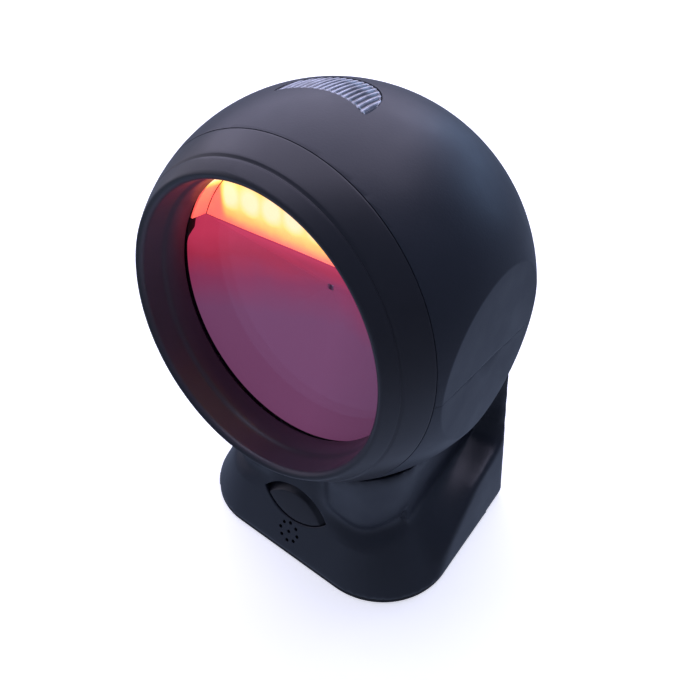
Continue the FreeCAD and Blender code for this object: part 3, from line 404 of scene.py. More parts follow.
def bezel_plastic(colour, inside, mouth):
    """Satin ABS with painted light inside the mouth: a lighter colour there stands in for light that doesn't
    reach the recess here.
    """
    material = moulded_plastic("abs_satin_bezel", colour, 0.36, 0.45 * MM, 0.02 * MM)
    tree = material.node_tree
    shader = next(node for node in tree.nodes if node.type == "BSDF_PRINCIPLED")
    x, _, z = head_point(tree)
    radius = distance(tree, x, z)
    # Painted light: the mask where the lighter colour is painted, blended in from the mouth's edge.
    painted_light_mask = stretch_range(tree, radius, mouth + 0.9 * MM, mouth + 0.2 * MM, 0.0, 1.0)
    outer = shader.inputs["Base Color"].links[0].from_socket
    painted_recess_light = blend_colours(tree, noise(tree, 11 * MM, 3.0), tone(inside, 0.8), tone(inside, 1.2))
    tree.links.new(blend_colours(tree, painted_light_mask, outer, painted_recess_light), shader.inputs["Base Color"])


def soft_rubber(colour):
    """Moulded rubber: dead matt, with dusty clouds and a fine stipple."""
    material, tree = new_material("moulded_rubber")
    dust = noise(tree, 9 * MM, 4.0)
    tint = blend_colours(tree, dust, colour, tone(colour, 2.2))
    principled(tree, Base_Color=tint, Roughness=stretch_range(tree, dust, 0.3, 0.7, 0.75, 0.92),
               Normal=bumped(tree, noise(tree, 0.7 * MM), 0.5, 0.05 * MM), IOR=1.5)


def tinted_acrylic(tint):
    """Clear acrylic with a trace of rose: a glossy skin over a pane that lets the lamp through."""
    material, tree = new_material("tinted_acrylic")
    smear = noise(tree, 25 * MM, 2.0)
    shine = add_node(tree, "ShaderNodeBsdfGlossy",
                     {"Color": linear("#E6DCF4"),
                      "Roughness": stretch_range(tree, smear, 0.3, 0.7, 0.03, 0.09)})
    clear = add_node(tree, "ShaderNodeBsdfTransparent", {"Color": tint})
    facing = add_node(tree, "ShaderNodeLayerWeight", {"Blend": 0.5}).outputs["Facing"]
    skin = stretch_range(tree, calc(tree, "POWER", facing, 5.0), 0.0, 1.0, 0.035, 0.6)
    both = add_node(tree, "ShaderNodeMixShader", {0: skin, 1: clear.outputs[0], 2: shine.outputs[0]})
    finish_material(tree, both.outputs[0])


def clear_polycarbonate(colour, pitch):
    """Clear polycarbonate: painted light inside the ribs and painted shade between them, under a glossy skin.
    """
    material, tree = new_material("clear_polycarbonate")
    x = head_point(tree)["X"]
    cloud = noise(tree, 4 * MM, 3.0)
    turn = calc(tree, "MULTIPLY", calc(tree, "DIVIDE", x, pitch), 2 * math.pi)
    ridge = calc(tree, "ADD", calc(tree, "MULTIPLY", calc(tree, "COSINE", turn), 0.5), 0.5)
    # Painted light on the ribs' crests and painted shade in their valleys.
    painted_rib_light = calc(tree, "MULTIPLY", calc(tree, "POWER", ridge, 1.5),
               stretch_range(tree, cloud, 0.35, 0.6, 0.25, 1.0))
    tint = blend_colours(tree, painted_rib_light, tone(colour, 0.12), tone(colour, 1.4))
    principled(tree, Base_Color=tint, Roughness=stretch_range(tree, cloud, 0.3, 0.7, 0.08, 0.16),
               IOR=1.585, Transmission_Weight=0.2, Coat_Weight=0.5)


def lit_diffuser(lamp, pitch, strength):
    """Opal diffuser that glows as if over two rows of LEDs: pale spots, yellow field, red lower edge."""
    material, tree = new_material("opal_diffuser")
    x, _, z = head_point(tree)
    column = calc(tree, "MULTIPLY", calc(tree, "SUBTRACT", calc(
        tree, "FRACT", calc(tree, "DIVIDE", x, pitch)), 0.5), pitch)
    lower = calc(tree, "ABSOLUTE", calc(tree, "SUBTRACT", z, 22.0 * MM))
    upper = calc(tree, "ABSOLUTE", calc(tree, "SUBTRACT", z, 28.5 * MM))
    row = calc(tree, "MINIMUM", lower, upper)
    apart = distance(tree, column, row)
    side = calc(tree, "ABSOLUTE", x)
    ends = stretch_range(tree, side, 26.5 * MM, 29.0 * MM, 1.0, 0.0)
    spot = calc(tree, "MULTIPLY", stretch_range(tree, apart, 1.0 * MM, 4.4 * MM, 1.0, 0.0), ends)
    foot = stretch_range(tree, z, 13.4 * MM, 19.0 * MM, 0.0, 1.0)
    field = calc(tree, "ADD", calc(tree, "MULTIPLY", calc(tree, "MULTIPLY", ends, foot), 0.42),
                 calc(tree, "MULTIPLY", spot, 0.58))
    wavy = calc(tree, "ADD", field, calc(tree, "MULTIPLY", calc(
        tree, "SUBTRACT", noise(tree, 3.0 * MM, 2.0), 0.5), 0.10))
    ramp = add_node(tree, "ShaderNodeValToRGB", {"Fac": wavy})
    stops = ramp.color_ramp.elements
    stops[0].position, stops[0].color = 0.0, linear("#FF5248")
    stops[1].position, stops[1].color = 0.8, linear("#FFFFC0")
    for position, colour in ((0.1, linear("#FF7038")), (0.24, lamp), (0.42, linear("#FFF060"))):
        stops.new(position).color = colour
    principled(tree, Base_Color=linear("#E8C8A0"), Roughness=0.4, Emission_Color=ramp.outputs["Color"],
               Emission_Strength=strength)


def lit_shroud(top, low, strength):
    """Matt shroud that gives off the light it would catch: red by the lamp, cool violet away from it."""
    material, tree = new_material("lit_shroud")
    x, _, z = head_point(tree)
    cloud = noise(tree, 12 * MM, 3.0)
    ragged = calc(tree, "ADD", z, calc(tree, "MULTIPLY", calc(tree, "SUBTRACT", cloud, 0.5), 8 * MM))
    slanted = calc(tree, "ADD", ragged, calc(tree, "MULTIPLY", x, -0.12))
    height = stretch_range(tree, slanted, -26 * MM, 14 * MM, 0, 1)
    ramp = add_node(tree, "ShaderNodeValToRGB", {"Fac": height})
    stops = ramp.color_ramp.elements
    stops[0].position, stops[0].color = 0.0, tone(low, 0.95)
    stops[1].position, stops[1].color = 1.0, tone(top, 1.4)
    for position, colour in ((0.42, low), (0.66, linear("#8C3C60")), (0.84, top)):
        stops.new(position).color = colour
    # Painted shade: the shroud's painted glow is dimmer towards its right side, +X.
    right = stretch_range(tree, x, 6 * MM, 30 * MM, 1.0, 0.7)
    shade = calc(tree, "MULTIPLY", right, strength)
    principled(tree, Base_Color=linear("#2A0A14"), Roughness=0.5, Emission_Color=ramp.outputs["Color"],
               Emission_Strength=shade, Normal=bumped(tree, noise(tree, 0.6 * MM), 0.4, 0.03 * MM))


def steel(name, colour, roughness, grain):
    """Bright metal with the fine drawn or rolled lines of its making."""
    material, tree = new_material(name)
    lines = noise(tree, 0.5 * MM, 3.0, 0.6, stretch=grain)
    tint = blend_colours(tree, lines, tone(colour, 0.8), colour)
    principled(tree, Base_Color=tint, Metallic=1.0,
               Roughness=stretch_range(tree, lines, 0.3, 0.7, roughness - 0.06, roughness + 0.08),
               Normal=bumped(tree, lines, 0.3, 0.02 * MM))


def knurled_brass():
    """Turned brass with the straight knurl that keeps an insert from turning."""
    material, tree = new_material("turned_brass")
    place = add_node(tree, "ShaderNodeTexCoord").outputs["Object"]
    wave = add_node(tree, "ShaderNodeTexWave", {"Vector": place, "Scale": 1 / (4 * MM), "Distortion": 0.4},
                    bands_direction="X")
    tint = blend_colours(tree, wave.outputs["Fac"], linear("#A07C34"), linear("#D8B368"))
    principled(tree, Base_Color=tint, Metallic=1.0, Roughness=0.32,
               Normal=bumped(tree, wave.outputs["Fac"], 0.4, 0.1 * MM))


def solder_mask(colour):
    """Glossy green lacquer with copper tracks that show through it as lighter lines."""
    material, tree = new_material("solder_mask")
    place = add_node(tree, "ShaderNodeTexCoord").outputs["Object"]
    tracks = add_node(tree, "ShaderNodeTexBrick",
                      {"Vector": place, "Scale": 1 / (12 * MM), "Color1": colour, "Color2": tone(colour, 1.3),
                       "Mortar": tone(colour, 2.2), "Mortar Size": 0.02})
    principled(tree, Base_Color=tracks.outputs["Color"], Roughness=0.25, Coat_Weight=0.4, IOR=1.5,
               Normal=bumped(tree, tracks.outputs["Fac"], 0.2, 0.04 * MM))


def led_epoxy():
    """Pale epoxy of an LED package, a little yellow where the phosphor lies."""
    material, tree = new_material("led_epoxy")
    cloud = noise(tree, 1.5 * MM, 2.0)
    principled(tree, Base_Color=blend_colours(tree, cloud, linear("#F2EBD0"), linear("#FFF8EC")),
               Roughness=0.25, IOR=1.53, Coat_Weight=0.3)


class SCANNER_OT_finishes(bpy.types.Operator):
    """Materials for every piece, and for the pieces kept from the frame"""
    bl_idname = "scanner.finishes"
    bl_label = "Finishes"

    def execute(self, context):
        sizes, colours = context.scene.scanner_sizes, context.scene.scanner_colours
        moulded_plastic("abs_fine_grain", colours.case, 0.42, 0.5 * MM, 0.035 * MM)
        moulded_plastic("abs_satin", colours.bezel, 0.36, 0.45 * MM, 0.02 * MM)
        moulded_plastic("abs_matt", colours.hidden, 0.55, 0.5 * MM, 0.03 * MM)
        moulded_plastic("nylon_black", tone(colours.hidden, 0.8), 0.6, 0.9 * MM, 0.03 * MM)
        bezel_plastic(colours.bezel, colours.recess, sizes.mouth)
        soft_rubber(colours.rubber)
        tinted_acrylic(colours.window)
        clear_polycarbonate(colours.indicator, sizes.rib_pitch)
        lit_diffuser(colours.lamp, sizes.led_pitch, colours.lamp_strength)
        lit_shroud(colours.shroud_top, colours.shroud_low, colours.glow_strength)
        steel("zinc_plated_steel", linear("#C4C8CC"), 0.28, (1, 1, 6))
        steel("rolled_steel", linear("#8C8E92"), 0.45, (6, 1, 1))
        knurled_brass()
        solder_mask(colours.board)
        led_epoxy()
        kept = {"case_plastic": "abs_fine_grain", "bezel_plastic": "abs_satin", "dark_plastic": "abs_matt",
                "black_moulding": "nylon_black", "soft_black": "moulded_rubber",
                "window_red": "tinted_acrylic", "clear_lens": "clear_polycarbonate",
                "lamp_plastic": "opal_diffuser", "led": "led_epoxy", "circuit_board": "solder_mask",
                "screw_steel": "zinc_plated_steel", "ballast_steel": "rolled_steel",
                "brass": "turned_brass"}
        for piece in frame["nodes"].values():
            for slot in piece.material_slots:
                slot.material = bpy.data.materials[kept[slot.material.name.split(".")[0]]]
        return {"FINISHED"}


# ------------------------------------------------------------------ stage

class SCANNER_OT_stage(bpy.types.Operator):
    """Pale floor, soft studio light and the camera"""
    bl_idname = "scanner.stage"
    bl_label = "Stage"

    def execute(self, context):
        scene = context.scene
        scene.view_settings.view_transform = "Standard"
        form = bmesh.new()
        bmesh.ops.create_grid(form, x_segments=1, y_segments=1, size=6)
        floor = mesh_object("floor", form)
        material, tree = new_material("lit_board")
        tint = blend_colours(tree, noise(tree, 0.3), linear("#F4F4F5"), linear("#FAFAFA"))
        principled(tree, Base_Color=tint, Roughness=0.9, Emission_Color=linear("#F8F8FF"),
                   Emission_Strength=0.64)
        # The floor stays out of reflections; the world below the horizon stands in for it there.
        floor.visible_glossy = False
        dress(floor, "lit_board")
        self.studio(scene)
        self.lamp("top softbox", (-0.5, 0.5, 1.25), (2.2, 2.2), 30.0, "#E4DEFF")
        self.lamp("rear softbox", (0.2, 1.1, 0.5), (0.9, 0.5), 1.9, "#AACCFF")
        self.lamp("left softbox", (-1.1, -0.25, 0.4), (1.2, 0.8), 1.9, "#F6ECFF")
        self.camera(scene)
        return {"FINISHED"}

    def studio(self, scene):
        """Pale light from all round, brighter below, a little dimmer level with the right side."""
        world = bpy.data.worlds.new("studio")
        world.use_nodes = True
        tree = world.node_tree
        tree.nodes.clear()
        way = add_node(tree, "ShaderNodeTexCoord").outputs["Generated"]
        x, y, z = add_node(tree, "ShaderNodeSeparateXYZ", {"Vector": way}).outputs
        right = calc(tree, "SUBTRACT", calc(tree, "MULTIPLY", x, 0.94), calc(tree, "MULTIPLY", y, 0.34))
        level = calc(tree, "SUBTRACT", 1.0, calc(tree, "MULTIPLY", calc(tree, "ABSOLUTE", z), 1.6))
        flag = calc(tree, "MULTIPLY", stretch_range(tree, right, 0.1, 0.8, 0.0, 1.0),
                    stretch_range(tree, level, 0.0, 0.6, 0.0, 1.0))
        room = stretch_range(tree, z, -0.7, 0.1, 0.50, 0.30)
        glow = calc(tree, "MULTIPLY", room, calc(tree, "SUBTRACT", 1.0, calc(tree, "MULTIPLY", flag, 0.42)))
        sky = add_node(tree, "ShaderNodeBackground", {"Color": linear("#C4D6FF"), "Strength": glow})
        add_node(tree, "ShaderNodeOutputWorld", {"Surface": sky.outputs["Background"]})
        scene.world = world

    def lamp(self, name, spot, extent, power, colour):
        light = bpy.data.lights.new(name, "AREA")
        light.shape = "RECTANGLE"
        light.size, light.size_y = extent
        light.energy = power
        light.color = linear(colour)[:3]
        lamp = bpy.data.objects.new(name, light)
        lamp.location = spot
        lamp.rotation_euler = (HEAD_CENTRE - Vector(spot)).to_track_quat("-Z", "Y").to_euler()
        bpy.context.scene.collection.objects.link(lamp)

    def camera(self, scene):
        """Three-quarter view from the front right, looking down."""
        around, down = math.radians(37.73), math.radians(38.94)
        look = Vector((-math.sin(around) * math.cos(down), math.cos(around) * math.cos(down),
                       -math.sin(down)))
        optics = bpy.data.cameras.new("camera")
        optics.lens = 34.41
        optics.sensor_width = 36.0
        optics.clip_start = 0.01
        camera = bpy.data.objects.new("camera", optics)
        camera.location = (0.090, -0.1141, 0.1912)
        camera.rotation_euler = look.to_track_quat("-Z", "Y").to_euler()
        scene.collection.objects.link(camera)
        scene.camera = camera


# ------------------------------------------------------------------ head

RIM_Y = -34.62       # front of the bezel, in the head's frame
PARTING_Y = -24.52   # joint between bezel and shells
PANE_Y = -20.22      # front of the window
GASKET_Y = -18.22    # back of the window
FLANGE_Y = -14.72    # front of the light shroud's flange
LAMP_Y = -13.22      # front of the lamp
LAMP_FLOOR = 13.7    # lower edge of the lamp above the axis
SEAM_Z = -1.5        # seam between the two shells
RING_RADIUS = 42.4   # outside of the window's retainer and the shroud's flange
EYE_RADIUS = 1.0     # opening of the shroud for the reader's lens
EYE_Y = -1.9         # and where it lies
BACK_Y = -8.0        # middle of the indicator's round back
HOLLOW_Y = -36.5     # middle of the indicator's hollow
SCREW_Z = -9.5       # floor of the screw wells in the lower shell
SHELL_SCREWS = ((41, 6), (-41, 6), (22, 40.7), (-22, 40.7))
PLATE_SCREWS = ((26, -17), (-26, -17), (38.5, 34.6), (-38.5, 34.6))   # in the base's own XY


class SCANNER_OT_head_shells(bpy.types.Operator):
    """Upper and lower shell of the round head, with soft flats and a fine seam"""
    bl_idname = "scanner.head_shells"
    bl_label = "Head shells"

    def execute(self, context):
        sizes = context.scene.scanner_sizes
        for name, low, high in (("upper", SEAM_Z, 60.0), ("lower", -60.0, SEAM_Z)):
            shell = self.half("shell_" + name, low, high, sizes)
            cut_away(shell, self.wells() if name == "lower" else [self.crescent_block(sizes)], 50)
            place_mesh(shell, head_place())
            hand_over(shell, "abs_fine_grain", "case_plastic", "head", f"head_{name}_shell")
        return {"FINISHED"}

    def half(self, name, low, high, sizes):
        """One half of the ball, from a profile turned about X, cut behind the bezel and at the seam."""
        radius, flat, soft = sizes.ball_radius / MM, sizes.flat_x / MM, sizes.soft_edge / MM
        # The rounding's circle touches the flat and the ball from inside.
        middle = (flat - soft, math.sqrt((radius - soft) ** 2 - (flat - soft) ** 2))
        meet = math.degrees(math.atan2(middle[1], middle[0]))
        side = [(flat, middle[1] * share) for share in (0.0, 0.3, 0.6, 0.85)]
        side += arc(middle, soft, 0, meet, 8)
        half_profile = side + arc((0, 0), radius, meet, 90, 56)[1:]
        profile = half_profile + [(-x, r) for x, r in reversed(half_profile[:-1])]
        form = bmesh.new()
        steps = 224
        rings = []
        for x, r in profile:
            spots = [(x, r * math.cos(turn), r * math.sin(turn))
                     for turn in np.linspace(0, 2 * math.pi, steps, endpoint=False)]
            rings.append([form.verts.new(Vector(spot) * MM) for spot in spots])
        join_rings(form, rings)
        bmesh.ops.remove_doubles(form, verts=form.verts, dist=0.002 * MM)
        for spot, normal in (((0, PARTING_Y + 0.05, 0), (0, -1, 0)), ((0, 0, low + 0.03), (0, 0, -1)),
                             ((0, 0, high - 0.03), (0, 0, 1))):
            bmesh.ops.bisect_plane(form, geom=form.verts[:] + form.edges[:] + form.faces[:],
                                   plane_co=Vector(spot) * MM, plane_no=normal, clear_outer=True,
                                   dist=1e-7)
        shell = mesh_object(name, form, 40)
        wall = shell.modifiers.new("wall", "SOLIDIFY")
        wall.thickness = sizes.wall
        wall.offset = -1
        wall.use_even_offset = True
        round_off = shell.modifiers.new("edge", "BEVEL")
        round_off.width = 0.2 * MM
        round_off.segments = 2
        round_off.limit_method = "ANGLE"
        round_off.angle_limit = math.radians(60)
        return settle(shell)

    def crescent_block(self, sizes):
        return prism("crescent_block", crescent_outline(sizes, 0.12), 40, 60)

    def wells(self):
        """Screw wells and the slots for clamp bolt and wires, in the lower shell."""
        tools = [prism("well", circle(spot, 2.75, 32), -60, SCREW_Z) for spot in SHELL_SCREWS]
        for x, half, ends in ((0, 2.3, (-15.8, 15.8)), (17, 3.0, (-15.3, 15.3))):
            tools.append(prism("slot", [(x - half, ends[0]), (x + half, ends[0]), (x + half, ends[1]),
                                        (x - half, ends[1])], -60, -26))
        return tools


def crescent_outline(sizes, grow_by):
    """The indicator's outline in the head's XY, from its round back and hollow front."""
    back_r = sizes.crescent_back / MM + grow_by
    front_r = sizes.crescent_hollow / MM - grow_by
    apart = BACK_Y - HOLLOW_Y
    along = (back_r ** 2 - front_r ** 2 + apart ** 2) / (2 * apart)
    tip = math.sqrt(back_r ** 2 - along ** 2)
    start = math.degrees(math.atan2(-along, tip))
    points = arc((0, BACK_Y), back_r, start, 180 - start, 64)
    lean = math.degrees(math.atan2(BACK_Y - along - HOLLOW_Y, tip))
    return points + arc((0, HOLLOW_Y), front_r, 180 - lean, lean, 40)[1:-1]


class SCANNER_OT_bezel(bpy.types.Operator):
    """Turned bezel with a rounded rim, a fine groove and the deep recess"""
    bl_idname = "scanner.bezel"
    bl_label = "Bezel"

    def execute(self, context):
        sizes = context.scene.scanner_sizes
        radius, mouth, recess = sizes.ball_radius / MM, sizes.mouth / MM, sizes.recess / MM

        def ball(y, sunk=0.0):
            return (math.sqrt(radius ** 2 - y ** 2) - sunk, y)

        rim = arc((mouth + 1.8, RIM_Y + 1.8), 1.8, 180, 262, 10)
        groove_y = -31.07
        outer = [ball(y) for y in np.linspace(RIM_Y + 0.35, groove_y - 0.5, 9)]
        outer += [ball(groove_y - 0.3, 0.04), ball(groove_y - 0.12, 0.26), ball(groove_y + 0.12, 0.26),
                  ball(groove_y + 0.3, 0.04)]
        outer += [ball(y) for y in np.linspace(groove_y + 0.5, PARTING_Y - 0.5, 14)]
        outer += [ball(PARTING_Y - 0.2), ball(PARTING_Y - 0.05, 0.07), ball(PARTING_Y, 0.22)]
        back = [(42.6, PARTING_Y), (42.6, PANE_Y), (recess + 0.1, PANE_Y), (recess, PANE_Y - 0.1)]
        step_y = RIM_Y + 7.6
        inner = [(recess, step_y + 1.1), (recess + 0.1, step_y + 0.5), (recess + 0.3, step_y),
                 (mouth - 0.1, step_y - 0.5), (mouth, step_y - 1.1)]
        bezel = place_mesh(lathe("bezel", rim + outer + back + inner, 256), head_place())
        hand_over(bezel, "abs_satin_bezel", "bezel_plastic", "head", "front_bezel")
        return {"FINISHED"}


class SCANNER_OT_optics(bpy.types.Operator):
    """Light shroud, lamp diffuser and the rings behind the window"""
    bl_idname = "scanner.optics"
    bl_label = "Lamp and shroud"

    def execute(self, context):
        clear = context.scene.scanner_sizes.recess / MM + 0.8
        self.shroud(clear)
        self.diffuser(clear - 0.1)
        for name, inner, outer, low, high, finish, slot in (
                ("gasket", clear + 0.45, 38.5, GASKET_Y, GASKET_Y + 1, "moulded_rubber", "soft_black"),
                ("retainer", clear + 1.6, RING_RADIUS, GASKET_Y + 1, FLANGE_Y, "abs_matt", "dark_plastic")):
            rounding = 0.15
            profile = [(inner, low + rounding), (inner + rounding, low), (outer - rounding, low),
                       (outer, low + rounding), (outer, high), (inner, high)]
            ring = lathe("window_" + name + "_ring", profile, 192)
            if name == "retainer":
                cut_away(ring, [clamp_notch()], 50)
            place_mesh(ring, head_place())
            hand_over(ring, finish, slot, "head", "window_" + name)
        return {"FINISHED"}

    def shroud(self, clear):
        """A funnel from the window down to the reader's small eye, with its flange."""
        corner = math.degrees(math.asin(LAMP_FLOOR / clear))
        low_y, high_y = GASKET_Y + 0.1, LAMP_Y
        front = []
        for x, z in arc((0, 0), clear, 180 - corner, 360 + corner, 97):
            rise = min(max((z - 7.5) / (LAMP_FLOOR - 7.5), 0), 1)
            front.append((x, low_y + (high_y - low_y) * rise, z))
        end = front[-1][0]
        front += [(x, high_y, LAMP_FLOOR) for x in np.linspace(end, -end, 32)[1:-1]]
        inside, outside = [], []
        for share in np.linspace(0, 1, 17):
            inner, outer = [], []
            for x, y, z in front:
                reach = max(abs(x), abs(z) * clear / 30)
                eye = Vector((EYE_RADIUS * x / reach, EYE_Y, EYE_RADIUS * z / reach))
                spot = Vector((x, y, z)).lerp(eye, share)
                inner.append(spot)
                away = Vector((spot.x, 0, spot.z)).normalized() * 0.45
                outer.append(spot + away + Vector((0, 0.5 * share, 0)))
            inside.append(inner)
            outside.append(outer)
        form = bmesh.new()
        rings = [[form.verts.new(point * MM) for point in loop] for loop in inside + outside[::-1]]
        join_rings(form, rings, closed=True)
        funnel = mesh_object("shroud_funnel", form, 30)
        flange = lathe("shroud_flange", [(clear + 0.5, FLANGE_Y), (RING_RADIUS, FLANGE_Y),
                                         (RING_RADIUS, LAMP_Y), (clear + 0.5, LAMP_Y)], 192)
        cut_away(flange, [clamp_notch()], 50)
        self.joined("shroud", (funnel, flange), "lit_shroud", "dark_plastic", "light_shroud")

    def joined(self, name, parts, finish, slot, node):
        """Makes one piece of its parts, in place and finished."""
        whole = bmesh.new()
        for part in parts:
            whole.from_mesh(part.data)
            bpy.data.objects.remove(part)
        piece = place_mesh(mesh_object(name, whole, 30), head_place())
        hand_over(piece, finish, slot, "head", node)

    def diffuser(self, clear):
        """The opal plate between lamp and window, in a frame that reaches the window."""
        def loop_at(reach, foot, y):
            corner = math.degrees(math.asin(foot / reach))
            loop = arc((0, 0), reach, corner, 180 - corner, 72)
            loop += [(x, foot) for x in np.linspace(loop[-1][0], loop[0][0], 24)[1:-1]]
            return [(x, y, z) for x, z in loop]

        layers = [loop_at(clear - sunk, LAMP_FLOOR + 0.05 + sunk, y)
                  for sunk, y in ((0.5, LAMP_Y), (0.15, LAMP_Y + 0.12), (0.0, LAMP_Y + 0.5),
                                  (0.0, LAMP_Y + 1.6))]
        plate = stack("diffuser_plate", layers)
        corner = math.degrees(math.asin(LAMP_FLOOR / clear)) + 0.5
        form = bmesh.new()
        rings = []
        for x, z in arc((0, 0), 1.0, corner, 180 - corner, 90):
            section = ((clear, GASKET_Y + 0.1), (clear + 0.5, GASKET_Y + 0.1),
                       (clear + 0.5, LAMP_Y - 0.05), (clear, LAMP_Y - 0.05))
            rings.append([form.verts.new(Vector((x * r, y, z * r)) * MM) for r, y in section])
        join_rings(form, rings)
        form.faces.new(rings[0])
        form.faces.new(rings[-1])
        self.joined("diffuser", (plate, mesh_object("diffuser_frame", form)), "opal_diffuser",
                    "lamp_plastic", "lamp_diffuser")


def rib_tree():
    """Presses ribs into a lens along X, as deep as its fade attribute lets them."""
    tree, given = new_tree("lens_ribs", (("Geometry", "Geometry"), ("Pitch", "Float"), ("Depth", "Float"),
                                         ("Finish", "Material")))
    spot = add_node(tree, "GeometryNodeInputPosition").outputs[0]
    x = add_node(tree, "ShaderNodeSeparateXYZ", {"Vector": spot}).outputs["X"]
    turn = calc(tree, "MULTIPLY", calc(tree, "DIVIDE", x, given["Pitch"]), 2 * math.pi)
    valley = calc(tree, "SUBTRACT", 0.5, calc(tree, "MULTIPLY", calc(tree, "COSINE", turn), 0.5))
    fade = add_node(tree, "GeometryNodeInputNamedAttribute", {"Name": "fade"}, data_type="FLOAT").outputs[0]
    sunk = calc(tree, "MULTIPLY", calc(tree, "MULTIPLY", valley, fade), given["Depth"])
    move = add_node(tree, "ShaderNodeCombineXYZ", {"Z": calc(tree, "MULTIPLY", sunk, -1.0)})
    ribbed = add_node(tree, "GeometryNodeSetPosition", {"Geometry": given["Geometry"],
                                                        "Offset": move.outputs[0]})
    end_tree(tree, ribbed.outputs[0], given["Finish"])
    return tree


class SCANNER_OT_indicator(bpy.types.Operator):
    """Ribbed crescent lens on top of the head"""
    bl_idname = "scanner.indicator"
    bl_label = "Indicator lens"

    def execute(self, context):
        sizes = context.scene.scanner_sizes
        mesh = self.smooth_lens(sizes)
        lens = grow("indicator_cover", rib_tree(), mesh,
                    {"Pitch": sizes.rib_pitch, "Depth": sizes.rib_depth,
                     "Finish": bpy.data.materials["clear_polycarbonate"]})
        smooth(lens.data, 50)
        place_mesh(lens, head_place())
        hand_over(lens, "clear_polycarbonate", "clear_lens", "head", "indicator_lens")
        return {"FINISHED"}

    def smooth_lens(self, sizes):
        """The crescent between its two arcs, rounded at its edge, with how far the ribs may cut it."""
        radius = sizes.ball_radius / MM
        back_r, front_r = sizes.crescent_back / MM, sizes.crescent_hollow / MM
        across, along = 220, 24
        end = 12.42
        form = bmesh.new()
        fades = form.verts.layers.float.new("fade")
        rings = []
        for x in np.linspace(-end, end, across + 1):
            front = HOLLOW_Y + math.sqrt(front_r ** 2 - x ** 2)
            back = BACK_Y + math.sqrt(back_r ** 2 - x ** 2)
            column, under = [], []
            for share in np.linspace(0, 1, along + 1):
                y = front + (back - front) * share
                edge = min((back - front) * share, (back - front) * (1 - share), (end - abs(x)) * 1.5)
                round_off = 0.35 * max(1 - edge / 0.5, 0) ** 2
                height = math.sqrt(radius ** 2 - x ** 2 - y ** 2)
                top = form.verts.new(Vector((x, y, height - round_off)) * MM)
                top[fades] = min(max((edge - 0.3) / 0.6, 0), 1)
                column.append(top)
                under.append(form.verts.new(Vector((x, y, height - 2.4)) * MM))
            rings.append(column + under[::-1])
        join_rings(form, rings)
        form.faces.new(rings[0])
        form.faces.new(rings[-1])
        bmesh.ops.recalc_face_normals(form, faces=form.faces)
        mesh = bpy.data.meshes.new("indicator_form")
        form.to_mesh(mesh)
        form.free()
        return mesh


# ------------------------------------------------------------------ base

def pointed_oval(sizes, above, below):
    """The button's outline in the front wall's XZ, grown above and below by different amounts."""
    half, rise = sizes.button_half / MM, sizes.button_rise / MM
    bow = (half ** 2 + rise ** 2) / (2 * rise)
    shift = bow - rise
    top, foot = bow + above, bow + below
    tip_z = (top ** 2 - foot ** 2) / (4 * shift)
    start = math.degrees(math.asin((tip_z + shift) / top))
    end = math.degrees(math.asin((shift - tip_z) / foot))
    upper = arc((0, -shift), top, start, 180 - start, 40)
    lower = arc((0, shift), foot, 180 + end, 360 - end, 40)
    up = sizes.button_up / MM
    return [(x, z + up) for x, z in upper[:-1] + lower[:-1]]


def oval_stack(name, sizes, layers):
    return stack(name, [[(x, y, z) for x, z in pointed_oval(sizes, above, below)]
                        for above, below, y in layers])


def hole_ring_tree():
    """A ring of pins round a middle one, standing along Y."""
    tree, given = new_tree("sound_pins", (("Count", "Int"), ("Ring", "Float"), ("Hole", "Float"),
                                          ("Depth", "Float"), ("Finish", "Material")))
    ring = add_node(tree, "GeometryNodeMeshCircle", {"Vertices": given["Count"], "Radius": given["Ring"]})
    middle = add_node(tree, "GeometryNodeMeshLine", {"Count": 1})
    spots = add_node(tree, "GeometryNodeJoinGeometry")
    tree.links.new(ring.outputs[0], spots.inputs[0])
    tree.links.new(middle.outputs[0], spots.inputs[0])
    pin = add_node(tree, "GeometryNodeMeshCylinder", {"Vertices": 24, "Radius": given["Hole"],
                                                      "Depth": given["Depth"]})
    placed = add_node(tree, "GeometryNodeInstanceOnPoints", {"Points": spots.outputs[0],
                                                             "Instance": pin.outputs[0]})
    end_tree(tree, placed.outputs[0], given["Finish"])
    return tree


